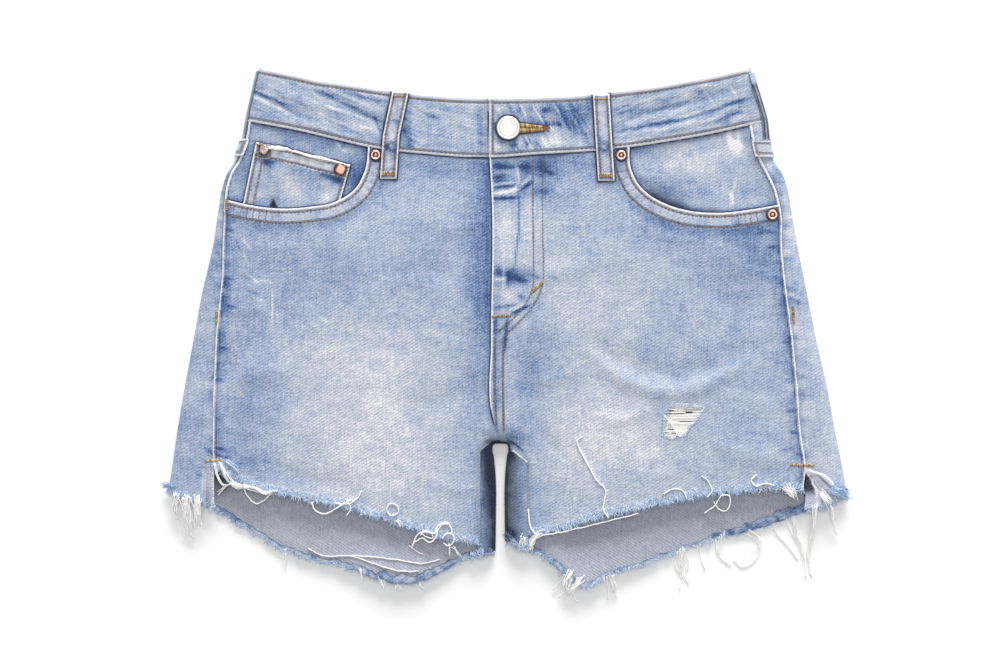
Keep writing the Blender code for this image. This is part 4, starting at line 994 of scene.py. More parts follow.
def wrapped(side, v, upper, lower, columns):
    # rows from the side seam on the front, round the fold, to where the underside lies flat
    inset = np.zeros_like(v)
    for _ in range(6):
        x, d = besideFold(side, inset, v, upper, lower)
        inset = np.abs(outlineAt(side, d) - sideSeamAt(side, d)) + 0.7
    share = np.linspace(1, 0, columns + 1) ** 1.5
    x, d = besideFold(side, inset[:, None] * share, v[:, None], upper, lower)
    z = stripZ(side, x, d, inset[:, None] * (1 - share)) * (share > 0) + laid["fold"] * (share == 0)
    xUnder, dUnder = besideFold(side, underIn, v[:, None], upper, lower)
    return np.concatenate([coords(x, d, z), coords(xUnder, dUnder, underUp)[:, 1:]], axis=1), xUnder[:, -1]


hemLift = {  # how far the loose back hem stands off the surface, most at its two points
    "least": 1.0, "reach": 46.0, "points": patches((-84, 370, 60, 400, 0, 4.6), (58, 370, 60, 400, 0, 4.6)),
}


def backLift(x, d, low):
    height = hemLift["least"] + 0.5 * noise(x, d, 26, 42) + spots(hemLift["points"], x, d)
    return height * ramp(d, low - hemLift["reach"], low)


def flatRows(xOut, vOut, xIn, vIn, upper, lower, columns):
    share = np.linspace(0, 1, columns + 1)
    x = xOut[:, None] + (xIn - xOut)[:, None] * share
    v = vOut[:, None] + (vIn - vOut)[:, None] * share
    d = upper(x) + (lower(x) - upper(x)) * v
    # it rests flat, and only its loose hem lifts off the surface
    lift = backLift(x, d, lower(x)) * ramp(share, 0, 0.12) * fade(share, 0.88, 1)
    return coords(x, d, np.maximum(lift, 0))


slitShade = patches((-210, 302, 7, 10, 0, 0.95), (222, 304, 7, 9, 0, 0.9), (72, 352, 40, 18, -12, 0.13))


cuffShade = patches((3, 345, 6, 5, 0, 0.6), (6, 286, 3, 6, 0, 0.3), (12, 300, 2.4, 9, 24, -0.14))


def backMarks(side, points, onFront):
    x, d = points[..., 0].ravel(), points[..., 1].ravel()
    shade = 0.62 + 0.05 * side + spots(backWashes, x, d) + creased(seamStrokes, x, d) + 0.08 * noise(x, d, 14, 43)
    slot = np.maximum(slotAway(x, d), 0)
    # painted shade: nearly black towards the space between the legs, more so on the left
    low = ramp(d, 290, 345)
    if side < 0:
        share = np.clip(slot / (13.0 - 2.5 * low), 0, 1)
        deep = (1.06 - 0.1 * low) * (1 - share ** (2.4 - 1.3 * low)) + 0.14 * fade(slot, 10, 14)
    else:
        deep = 0.56 * fade(slot, 6, 19) + 0.6 * np.exp(-slot / 3.0) + spots(cuffShade, x, d)
    # the inner thigh strips are bluer too: partly darker dye, partly painted shade
    shade = shade - 0.20 * fade(slot, 13, 20) * (1 - onFront)
    deep = deep * (1 + 0.12 * noise(x, d, 5, 45))
    inset = np.abs(x - sideSeamAt(side, d))
    shade = shade + onFront * 0.24 * bell(inset, 7) * noise(inset / 4, d, 4.2, 44)
    # below its tack the seam is open, and the turning shows as a pale stitched strip
    slit = onFront * ramp(d, laid["slitTop"] - 2, laid["slitTop"] + 2)
    strip = 7.2 if side < 0 else 3.6
    # painted shade on the inner face: in the open slits' corners and under the right front's hem
    deep = np.maximum(deep, (1 - onFront) * spots(slitShade, x, d))
    edge = 0.0
    if side > 0:
        # the right one gapes: painted shade makes a dark wedge between it and the front
        edge = np.clip(0.42 * (d - 295), 0, 6.5)
        deep = np.maximum(deep, slit * fade(inset, edge - 1.0, edge + 0.2) * 0.95 * fade(d, 311, 317))
    worn = (0.75 + 0.4 * noise(x, d, 3, 67)) * slit * fade(inset, edge + strip, edge + strip + 1)
    edgeAway = np.where(slit > 0.5, np.minimum(np.abs(inset - edge), np.abs(inset - edge - strip - 0.3) + 1.0), far)
    rowAway = np.minimum(np.abs(inset - 2.6), np.abs(inset - 5.2))
    seamAway = np.where(slit * (side < 0) > 0.5, 0.5 + 1.6 * rowAway, far)
    # painted shade with unfaded dye: a dark line on the strip beside the seam, above the slit
    gapAway = np.where((onFront > 0) & (d < laid["slitTop"]), 0.6 + 1.5 * inset, far)
    return {
        "wash": shade, "deep": np.clip(deep, 0, 1), "worn": np.clip(worn, 0, 1),
        "edgeAway": edgeAway, "gapAway": gapAway, "seamAway": seamAway,
    }


def yokePanel(side):
    v = np.linspace(0, 1, backGrid["yokeRows"])
    upper = lambda x: bandBottom(x) - 0.8
    rows, xOut = wrapped(side, v, upper, yokeLine, backGrid["yokeStrip"])
    xIn = np.full_like(v, laid["slotX"] + side * hiddenGap)
    flat = flatRows(xOut, v, xIn, v, upper, yokeLine, backGrid["yokeFlat"])
    grid = np.concatenate([rows, flat[:, 1:]], axis=1)
    onFront = np.broadcast_to(np.arange(grid.shape[1]) <= backGrid["yokeStrip"], grid.shape[:2]).ravel().astype(float)
    faces = gridFaces(*grid.shape[:2])[:, ::side]
    cloth("back-yoke-" + word(side), grid, faces, backMarks(side, grid, onFront), backWall, ["yoke-" + word(side)])


def backHemAt(side):
    # the raw edge: the smooth hem, torn unevenly
    def lower(x):
        tear = 1.0 * noise(x, 0, 6.0, 50 + side) + 0.6 * noise(x, 0, 2.2, 60 + side)
        return readAt(backHems[side], "down", x) - laid["backFray"] + tear
    return lower


curled = {
    "radius": 1.3, "reach": 4.4, "turns": 6,
    "sizes": {
        -1: table(
            "across size",
            (-256, 0.8), (-150, 0.7), (-112, 0.9), (-92, 1.3), (-62, 1.45), (-38, 1), (0, 0.9),
        ),
        1: table(
            "across size",
            (0, 0.8), (45, 0.9), (75, 0.6), (105, 0.45), (148, 0.5), (168, 1), (200, 1.4), (236, 1.2), (260, 1),
        ),
    },
}


def curledHem(side, whole, first):
    # the cut edge rolls up and back over itself: half a circle, then a flat lip of uneven depth
    edge = whole[-1, first:-2]
    along = np.gradient(edge[:, :2], axis=0)
    along /= np.linalg.norm(along, axis=1, keepdims=True)
    outwards = coords(-along[:, 1], along[:, 0]) * -side
    ends = np.minimum(np.arange(len(edge)), np.arange(len(edge))[::-1])
    size = (0.3 + 0.7 * ramp(ends, 0, 8)) * readAt(curled["sizes"][side], "size", edge[:, 0])
    radius = curled["radius"] * (0.9 + 0.12 * noise(edge[:, 0], 0, 6, 47)) * size
    reach = curled["reach"] * size * (0.85 + 0.25 * noise(edge[:, 0], 0, 5, 48) + 0.2 * noise(edge[:, 0], 0, 2, 49))
    lifted = 0.35 * fade(ends, 0, 8)
    turns = np.linspace(0, math.pi, curled["turns"] + 1)[1:]
    rings = [(radius * np.sin(turn), radius * (1 - np.cos(turn)) + lifted) for turn in turns]
    rings += [(-reach * share, radius * 2 + 0.25 * share + lifted) for share in (0.35, 0.7, 1.0)]
    hem = np.stack([np.column_stack([edge[:, :2] + outwards * out[:, None], edge[:, 2] + up]) for out, up in rings])
    rows, wide = whole.shape[:2]
    index = np.arange(hem[..., 0].size).reshape(len(rings), -1) + rows * wide
    return hem, quads(np.concatenate([(np.arange(first, wide - 2) + (rows - 1) * wide)[None], index]))


def backPanel(side):
    upper = lambda x: yokeLine(x) + 0.15
    lower = backHemAt(side)
    rowOf = lambda x, d: (d - upper(x)) / (lower(x) - upper(x))
    # the inner edge: down beside the middle, round the space between the legs, and on to the hem
    above = np.linspace(upper(laid["slotX"]), laid["slotTop"] - laid["underRoll"], backGrid["above"])[:-1]
    xAbove = np.full_like(above, laid["slotX"] + side * hiddenGap)
    turn = np.linspace(0, math.pi / 2, backGrid["round"])
    xTurn, dTurn = roundSlot(side, laid["underRoll"], turn)
    vBelow = np.linspace(rowOf(xTurn[-1], dTurn[-1]), 1, backGrid["below"])[1:]
    xBelow, dBelow = besideSlot(side, laid["underRoll"], vBelow, upper, lower)
    xIn = np.concatenate([xAbove, xTurn, xBelow])
    vIn = np.concatenate([rowOf(xAbove, above), rowOf(xTurn, dTurn), vBelow])
    vIn[0] = 0.0
    vOut = np.linspace(0, 1, len(vIn))
    rows, xOut = wrapped(side, vOut, upper, lower, backGrid["strip"])
    flat = flatRows(xOut, vOut, xIn, vIn, upper, lower, backGrid["flat"])
    whole = np.concatenate([rows, flat[:, 1:]], axis=1)
    # the strip that comes up the inner thigh: round the top first, then beside the space
    spread = np.linspace(0, 1, 12) ** 1.4
    xA, dA = roundSlot(side, underIn[::-1], turn[:, None])
    xB, dB = roundSlot(side, (crotchInset(side, turn) + 0.6)[:, None] * spread, turn[:, None])
    reach = dBelow
    for _ in range(6):
        xC, dC = besideSlot(side, (inseamAt(side, reach) + 0.6)[:, None] * spread, vBelow[:, None], upper, lower)
        reach = dC[:, -1]
    xD, dD = besideSlot(side, underIn[::-1], vBelow[:, None], upper, lower)
    curl = coords(np.concatenate([xA, xD]), np.concatenate([dA, dD]), underUp[::-1])
    xOver, dOver = np.concatenate([xB, xC]), np.concatenate([dB, dC])
    # it tucks a little under the front's inseam
    over = coords(xOver, dOver, tubeTop(xOver, dOver) - 0.9 * ramp(spread, 0.8, 1.0))
    thigh = np.concatenate([curl, over[:, 1:]], axis=1)
    hem, hemFaces = curledHem(side, whole, rows.shape[1] + 2)
    flatCount, hemCount = whole[..., 0].size, hem[..., 0].size
    faces = np.concatenate([
        gridFaces(*whole.shape[:2]), hemFaces, gridFaces(*thigh.shape[:2]) + flatCount + hemCount,
    ])
    points = np.concatenate([part.reshape(-1, 3) for part in (whole, hem, thigh)])
    onFront = np.zeros(len(points))
    onFront[:flatCount] = np.broadcast_to(np.arange(whole.shape[1]) <= backGrid["strip"], whole.shape[:2]).ravel()
    marks = backMarks(side, points, onFront)
    rolled = slice(flatCount, flatCount + hemCount)
    x, d = points[rolled, 0], points[rolled, 1]
    marks["wash"][rolled] = 0.56 + 0.28 * noise(x, d, 2.6, 46) - 0.16 * ramp(x, 140, 175)
    marks["deep"][rolled] = 0.0
    # the lip's own edge is in shade where it meets the inner face
    marks["deep"][rolled.stop - hem.shape[1] : rolled.stop] = 0.75 if side < 0 else 0.4
    cloth("back-panel-" + word(side), points, faces[:, ::side], marks, backWall, ["back-" + word(side)])


def slitFlap():
    # the right side's turning, folded back below its tack: narrow at the top, curled along its free edge
    u, v = np.linspace(0, 1, 34)[:, None], np.linspace(-0.5, 0.5, 16)[None]
    wide = 2.5 + 8.0 * ramp(u, 0.0, 0.7) + 0.6 * noise(u * 20, 0, 5, 64)
    x = 224.5 + 18.0 * u + wide * v * 0.62 + 0.4 * noise(u * 26, v * 6, 5, 65)
    d = 296.5 + 16.5 * u - 1.5 * np.sin(math.pi * u) - wide * v * 0.78
    fold = 1.3 * np.cos(v * math.pi) * ramp(u, 0, 0.2) + 0.9 * np.sin(u * 9 + v * 4) * ramp(u, 0.2, 0.6) * (v + 0.5)
    z = tubeTop(x, d) + 0.4 + fold - 0.8 * ramp(u, 0.9, 1.0)
    # painted shade along the flap's fold
    marks = {
        "wash": 0.62 + 0.3 * noise(x, d, 3, 66), "worn": 0.8, "deep": 0.75 * bell(v - 0.12, 0.09) * ramp(u, 0.1, 0.4),
        "edgeAway": np.minimum(wide * (0.5 - np.abs(v)), 24 * (1 - u)),
    }
    cloth("slit-flap-right", coords(x, d, z), gridFaces(*z.shape), marks, 0.8, finishes=(denim, denim))


for side in (-1, 1):
    yokePanel(side)
    backPanel(side)
slitFlap()
print("back panels: done")


buttonAt, buttonholeEnd = (2.8, 43.2), 28.8


# waistband: one band round the waist, its right end lapped over its left
band = {
    "lapAt": -11.5, "underlap": 45.0, "lapUp": 1.6, "lapDown": 1.3, "wall": 2.2, "edge": 1.3,
    "rowTop": 3.7, "rowBottom": 2.7, "rowEnd": 2.7,
}
bandWashes = patches(
    (-140, 24, 60, 12, 20, -0.05), (-40, 40, 20, 8, 10, 0.08), (130, 30, 60, 12, -14, -0.04),
    (-73, 44.6, 4.4, 10.5, 0, -0.38), (-69.8, 55.1, 3.1, 3.8, 0, -0.4), (93.2, 30.2, 10.8, 4.7, 0, -0.3),
    (163.6, 39.6, 4.5, 2.5, 0, -0.35), (183.9, 15, 3.2, 6.5, 0, -0.2), (52.8, 32, 15, 13, 0, -0.4),
    (30, 38, 26, 16, 0, -0.1), (35.7, 26.6, 7.2, 7.2, 0, -0.12), (41.1, 53.6, 9, 4.7, 0, 0.25),
    (10.5, 30.1, 2.5, 3.2, 0, -0.45), (18.8, 28.8, 2.2, 2.2, 0, -0.25), (30.3, 30.1, 4.9, 2.2, 0, -0.45),
    (-8.2, 41.3, 2.2, 3.7, 0, -0.45), (6.9, 55.9, 2.2, 2.6, 0, -0.55), (16.8, 54.6, 1.9, 3.1, 0, -0.45),
    (24, 55.4, 2.1, 2.1, 0, -0.3), (32.1, 41.1, 2.7, 2.1, 0, -0.7), (-4, 28.8, 4.2, 2.4, 0, 0.25),
    (-2.5, 56.7, 4.7, 2.4, 0, 0.2), (35.5, 52.8, 6.2, 4.7, 0, 0.2), (-44, 42, 30, 18, 0, -0.07),
    (50, 42, 18, 18, 0, -0.08),
)
bandStrokes = strokes(
    (-190.1, 14, -157.8, 28.8, 0, 1.3, -0.55), (-164.8, 27.1, -147.3, 37.6, 0, 1.2, -0.3),
    (-142, 14, -122.8, 21.9, 0, 1.4, -0.45), (-124.6, 22.7, -107.1, 29.7, 0, 1, -0.3),
    (-114.1, 18.7, -82.6, 24.6, 0, 1.6, -0.45), (-108.8, 30.6, -87.8, 40.2, 0, 1.2, -0.35),
    (-96.9, 34.1, -89.6, 51.6, 0, 1.1, -0.5), (-105.3, 45.5, -93.1, 51.6, 0, 1, -0.3),
    (-154.3, 42.5, -126.3, 47.2, 0, 1, -0.22), (-119.3, 44.6, -101.8, 49, 0, 1, -0.22),
    (-63.4, 30.2, -47.6, 36.7, 0, 1.2, -0.25), (-18.2, 25.3, -17.5, 63.8, 0, 2.2, -0.35),
    (-187.5, 19.2, -154.3, 34.4, 0, 1.1, 0.4), (-168.3, 8.7, -126.3, 24.5, 0, 1.1, 0.2),
    (-133.3, 26.2, -101.8, 36.7, 0, 1.1, 0.3), (-126.3, 37.6, -91.3, 46, 0, 1.2, 0.2),
    (-175.3, 35.8, -150.8, 41.1, 0, 1, 0.15), (78.8, 47.1, 147.1, 33.8, 0, 1.3, -0.55),
    (138.1, 35.6, 184.8, 19.8, 0, 1.3, -0.5), (156.1, 38.3, 179.4, 29.3, 0, 1.1, -0.35),
    (123.7, 20.3, 154.3, 11.4, 0, 1.2, -0.2), (82.4, 51.8, 100.4, 40.1, 0, 1, 0.35),
    (100.4, 47.3, 159.6, 35.3, 0, 1.2, 0.25), (96.8, 41, 143.5, 31.1, 0, 0.9, 0.2),
    (146.2, 12.3, 155.2, 25.7, 0, 0.8, 0.3), (166.8, 11.4, 173.1, 21.2, 0, 0.9, 0.35),
    (143.5, 30.2, 183, 15.9, 0, 1, 0.2), (10.8, 23.6, 16.8, 36.1, 0, 0.6, 0.7),
    (19.9, 24.7, 29.8, 41.3, 0, 0.6, 0.55), (14.7, 47.6, 20.1, 59, 0, 0.6, 0.7),
    (36.8, 24.7, 41.5, 33.5, 0, 0.6, 0.45), (32.6, 40.5, 36.8, 45.7, 0, 0.6, 0.6),
    (23.3, 25.2, 27.2, 33.5, 0, 0.6, 0.35), (10.3, 49.1, 11.8, 56.9, 0, 0.6, 0.3),
    (26.6, 48.1, 31.6, 58.5, 0, 0.6, 0.35), (34.4, 39.8, 43.3, 41.1, 0, 1.6, -0.5),
)
bandCreases = strokes(
    (-186, 18, -140, 38, 2, 2.6, -0.7), (-176, 12, -120, 32, 2, 2.8, 0.5), (-140, 18, -92, 44, -2, 2.6, -0.6),
    (-120, 20, -84, 36, 1, 2.6, 0.5), (-160, 32, -112, 50, 2, 2.4, 0.5), (-96, 34, -80, 58, 2, 2.6, -0.6),
    (-66, 22, -62, 46, 2, 2.6, -0.5), (-44, 30, -22, 46, 1, 3, 0.4), (26, 24, 40, 44, 3, 2.6, -0.6),
    (40, 26, 52, 40, 1, 2.6, 0.5), (84, 42, 132, 28, -2, 2.6, -0.7), (92, 50, 150, 36, 2, 2.6, 0.55),
    (118, 30, 176, 12, 1, 2.6, -0.7), (110, 22, 160, 8, 1, 2.6, 0.5), (146, 40, 184, 22, 2, 2.4, 0.5),
    (168, 36, 186, 16, 1, 2.2, -0.5),
)


# worn strokes: from, to, slope in degrees, how strong, seed
bandSlopes = (-220, -60, 22, 0.30, 74), (-60, -12, 12, 0.20, 75), (-12, 66, 62, 0.32, 76), (66, 220, -17, 0.34, 77)


def streaks(x, d):
    # worn strokes of blue and white: noise stretched along a slope that differs along the band
    total = np.zeros(np.shape(x))
    for low, high, slope, deep, seed in bandSlopes:
        c, s = math.cos(math.radians(slope)), math.sin(math.radians(slope))
        u, v = x * c + d * s, d * c - x * s
        stroke = noise(u, v * 7.5, 15, seed) + 0.7 * noise(u, v * 5, 6, seed + 10)
        here = ramp(x, low - 6, low + 6) * fade(x, high - 6, high + 6)
        total = total + deep * here * np.clip(stroke, -1, 0.8)
    return total


def lapOver(x):
    end = band["lapAt"] + band["underlap"]
    return band["lapUp"] * fade(x, end + 2, end + 20)


def lapUnder(x):
    return -band["lapDown"] * ramp(x, band["lapAt"] - 20, band["lapAt"] - 2)


def bandZ(x, d, lap):
    # tube, the thicker band, its lapped end, diagonal creases, rows pulled in, and edges rolled over
    rim = np.minimum(x - outlineAt(-1, d), outlineAt(1, d) - x)
    z = tubeTop(x, d) + laid["bandRise"] * ramp(rim, 0, 4) + lap(x)
    z = z + (creased(bandCreases, x, d) + 0.18 * noise(x, d, 9, 70) + 0.09 * noise(x, d, 4, 71)) * ramp(rim, 0, 10)
    for away, row in ((d - bandTop(x), band["rowTop"]), (bandBottom(x) - d, band["rowBottom"])):
        z = z - 0.28 * bell(away - row, 0.9) * (1 + 0.5 * np.sin(x * 2 * math.pi / 3.1))
        z = z - band["edge"] * rollOff(away, band["edge"]) * ramp(rim, 0, 5)
    return z


def bandFront(v, startX, side, lap):
    # the band's front from one end of the lap to the side, then down round the fold
    d = bandTop(0.0) + np.zeros((len(v), 1))
    for _ in range(14):
        xRim = outlineAt(side, d) - side * readAt(lofts, "roll", d)
        d = bandTop(xRim) + (bandBottom(xRim) - bandTop(xRim)) * v
    # finer columns at the band's end, where it turns down
    share = np.concatenate([np.array([0, 0.25, 0.6, 1.1, 1.8, 2.6]) / 175, np.linspace(3.6 / 175, 1, 165)])
    x = startX + (xRim - startX) * share
    row = bandRow(x, v)
    z = bandZ(x, row, lap) - band["edge"] * rollOff(np.abs(x - startX), band["edge"])
    roll = readAt(lofts, "roll", d) * (1 - np.sin(quarter))
    xRoll, dRoll = besideFold(side, roll, v, bandTop, bandBottom)
    return np.concatenate([coords(x, row, z), coords(xRoll, dRoll, bandZ(xRoll, dRoll, lap))[:, 1:]], axis=1)


def bandRow(x, v):
    return bandTop(x) + (bandBottom(x) - bandTop(x)) * v


def waistband():
    v = np.concatenate([[0, 0.008, 0.02, 0.035], np.linspace(0.055, 0.945, 34), [0.965, 0.98, 0.992, 1]])[:, None]
    left, right = [coords(*besideFold(side, underIn, v, bandTop, bandBottom), underUp) for side in (-1, 1)]
    x = left[:, -1, :1] + (right[:, -1, :1] - left[:, -1, :1]) * np.linspace(0, 1, 60)
    under = coords(x, bandRow(x, v), 0.0)
    leftFront = bandFront(v, band["lapAt"] + band["underlap"], -1, lapUnder)
    rightFront = bandFront(v, band["lapAt"], 1, lapOver)
    ring = [leftFront, left[:, 1:], under[:, 1:-1], right[:, ::-1], rightFront[:, ::-1][:, 1:]]
    ring = np.concatenate(ring, axis=1)
    x, d = ring[..., 0].ravel(), ring[..., 1].ravel()
    top, bottom = d - bandTop(x), bandBottom(x) - d
    onLap = np.zeros(ring.shape[:2], bool)
    onLap[:, -rightFront.shape[1]:] = True
    fromEnd = np.where(onLap.ravel(), x - band["lapAt"], far)
    shade = 0.66 + spots(bandWashes, x, d) + 0.9 * creased(bandStrokes, x, d)
    shade = shade + 0.06 * noise(x, d, 8, 72) + 0.6 * streaks(x, d)
    worn = 1.1 * fade(top, 3.0, 4.2) + 0.75 * fade(bottom, 2.2, 3.4)
    rowAway = np.minimum(np.abs(top - band["rowTop"]), np.abs(bottom - band["rowBottom"]))
    endRow = np.where((top > 2) & (bottom > 2), np.abs(fromEnd - band["rowEnd"]), far)
    # shade beside the loops, the button, the buttonhole's lips and the lapped end
    strapAway, _ = nearestOf(strapRims, x, d)
    buttonAway = np.abs(np.hypot(x - buttonAt[0], d - buttonAt[1]) - 9.0)
    holeAway, _ = nearest(np.array([(buttonAt[0] + 9, 43.4), (buttonholeEnd - 1.0, 43.6)]), x, d)
    holeHalf = 4.5 - 0.12 * np.clip(x - buttonAt[0] - 6, 0, 22)
    besideLap = np.where(~onLap.ravel() & (x < band["lapAt"]), band["lapAt"] - x, far)
    gaps = strapAway, buttonAway, np.abs(holeAway - holeHalf) * 1.1 + 0.2, besideLap
    marks = {
        "wash": shade + 0.2 * fade(top, 2.6, 4.4), "edgeAway": np.minimum(np.minimum(top + 1.0, bottom), fromEnd),
        "seamAway": np.minimum(rowAway, endRow), "gapAway": np.minimum.reduce(gaps),
        "worn": np.maximum(worn, fade(fromEnd, 2.2, 3.4)),
    }
    faces = gridFaces(*ring.shape[:2])[:, ::-1]
    cloth("waistband-doubled", ring, faces, marks, band["wall"], ["waistband"], (denim, denim), softEdge=0.0)


waistband()
print("waistband: done")


# pocket facings and coin pocket
facing = {
    "below": 1.5, "deeper": 1.3, "deeperFrom": 72.0, "deeperTo": 94.0, "under": 9.0, "step": 1.5, "wall": 0.85,
}
facingDips = patches((120, 94, 22, 7, 22, -1), (-171, 99, 5, 4, 0, -1.1), (150, 70, 30, 20, 0, 0.3))
facingWashes = patches(
    (140, 66, 36, 12, -8, 0.22), (128, 84, 26, 7, 18, -0.1), (184, 70, 12, 20, 0, -0.04),
    (112, 66, 8, 10, 0, -0.12), (-190, 70, 8, 18, 0, -0.16), (-112, 78, 8, 12, 0, -0.34),
    (-150, 50, 36, 6, 12, -0.14), (-178, 96, 14, 6, 0, -0.22), (100, 58, 6, 8, 0, -0.24),
    (-106, 64, 5, 9, 0, -0.16), (150, 58, 30, 3, -12, -0.12), (120, 90, 20, 6, 26, -0.24),
)
facingStrokes = strokes(  # rubbed through to the white weft
    (166, 42, 170, 60, 1, 2.4, 0.45), (173, 44, 172, 64, -1, 2.2, 0.4), (167, 52, 178, 58, 0, 2.6, 0.35),
    (172, 80, 168, 106, 1, 0.9, 0.45), (166, 88, 170, 100, 0, 0.8, 0.35), (-126, 52, -118, 62, 0, 0.9, 0.4),
    (-118, 50, -122, 62, 0, 0.8, -0.4),
)
facingShade = patches((103, 82, 5, 3, 50, 0.3), (150, 104, 9, 1.5, 2, 0.4))


def facingZ(side, x, d):
    deeper = facing["deeper"] * ramp(d, facing["deeperFrom"], facing["deeperTo"]) if side < 0 else 0.0
    waves = 0.25 * noise(x, d, 12, 80 + side) + 0.08 * noise(x, d, 4, 82)
    # it comes up to the side seam, where its edge turns down beside the back's
    seam = np.abs(x - sideSeamAt(side, d))
    up = (facing["below"] + deeper) * fade(seam, 2, 10) + 0.3 * bell(seam - 1.4, 1.2)
    return tubeTop(x, d) - facing["below"] - deeper + waves * ramp(seam, 0, 8) + up + spots(facingDips, x, d)


def pocketFacing(side):
    pocket = fronts[side]["lines"]["pocket"]
    down = np.linspace(bandBottom(side * 185.0) - 0.8, pocket[0, 1] + 6, 40)
    sideLine = coords(sideSeamAt(side, down) - side * 0.3, down)
    under = sideways(pocket, -side * facing["under"])
    waist = np.linspace(under[-1, 0], sideLine[0, 0], 60)
    x, d, faces = trimmedGrid(np.concatenate([sideLine, under, coords(waist, bandBottom(waist) - 0.8)]),
        facing["step"])
    edgeAway, _ = nearest(sideLine, x, d)
    pocketAway, _ = nearest(pocket, x, d)
    gapAway, _ = nearestOf([pocket, bandFoot] + ([coinRim] if side < 0 else []), x, d)
    shade = 0.58 + 0.05 * (side > 0) + spots(facingWashes, x, d) + creased(facingStrokes, x, d)
    shade = shade + 0.07 * noise(x, d, 10, 83)
    deep = spots(facingShade, x, d)
    if side > 0:
        # the opening stands a little off the facing here, and painted shade darkens the facing under its lip
        lip = ramp(x, 99, 112) * fade(x, 128, 152)
        deep = deep + 0.95 * lip * bell(pocketAway, 1.2 + 4.8 * lip)
    # painted shade: darker along the pocket's edge, with dark lines and unfaded dye beside it, the band's foot, the
    # coin pocket and the side seam
    marks = {
        "wash": shade - 0.22 * bell(pocketAway, 3.0), "edgeAway": edgeAway * 0.8,
        "gapAway": np.minimum(gapAway, 0.45 + 1.5 * np.abs(edgeAway - 2.4)), "deep": np.clip(deep, 0, 1),
    }
    name = "pocket-facing-cloth-" + word(side)
    cloth(name, coords(x, d, facingZ(side, x, d)), faces, marks, facing["wall"], ["pocket-facing-" + word(side)])


coin = {
    "top": [(-184.4, 53.6), (-176, 55.4), (-150, 61.2), (-130, 66.6), (-114.2, 70.2)],
    "left": [(-184.4, 53.6), (-195.6, 107.0)], "right": [(-114.2, 70.2), (-124.6, 107.0)],
    "hemDeep": 9.2, "rowSide": 2.4, "fold": 7.6, "rise": 1.15, "step": 1.1, "wall": 0.8,
}
coinWashes = patches(
    (-158, 88, 16, 12, 0, 0.1), (-132, 96, 7, 7, 0, 0.3), (-140, 86, 5, 8, -30, -0.16), (-183, 100, 8, 5, 0, -0.14),
    (-146, 80, 12, 4, 14, -0.1), (-178, 68, 9, 4, 10, -0.25), (-124, 83, 7, 3, 14, -0.3),
)
coinTop = spaced(coin["top"], 1.0)
coinNib = ramp(coinTop[:, 0], -172, -168) * fade(coinTop[:, 0], -162, -156)
coinTop[:, 1] += 0.5 * noise(coinTop[:, 0], 0, 2.6, 85) - 1.3 * coinNib
coinLeft, coinRight = spaced(coin["left"], 1.0), spaced(coin["right"], 1.0)
coinRim = np.concatenate([coinLeft[::-1], coinTop, coinRight])
coinFoot = spaced(coin["top"], 2.0)
coinRows = [
    sideways(coinFoot, coin["hemDeep"]), sideways(coinLeft, -coin["rowSide"]), sideways(coinLeft, -coin["fold"])[12:],
    sideways(coinRight, coin["rowSide"]), sideways(coinFoot, 2.2),
]


def coinZ(x, d):
    # on the facing, its turned hem thicker, its rim rolled down, with a small gape at its foot
    topAway, topRun = nearest(coinTop, x, d)
    edgeAway, _ = nearest(coinRim, x, d)
    z = facingZ(-1, x, d) + coin["rise"] + 0.3 * fade(topAway, coin["hemDeep"], coin["hemDeep"] + 2)
    z = z + 0.12 * np.sin(2 * math.pi * topRun / 4.2) * fade(topAway, 8, 10) - 0.6 * fade(edgeAway, 0, 1.4)
    return z - 0.7 * np.exp(-(((x + 171.5) / 3) ** 2) - ((d - 100) / 4) ** 2)


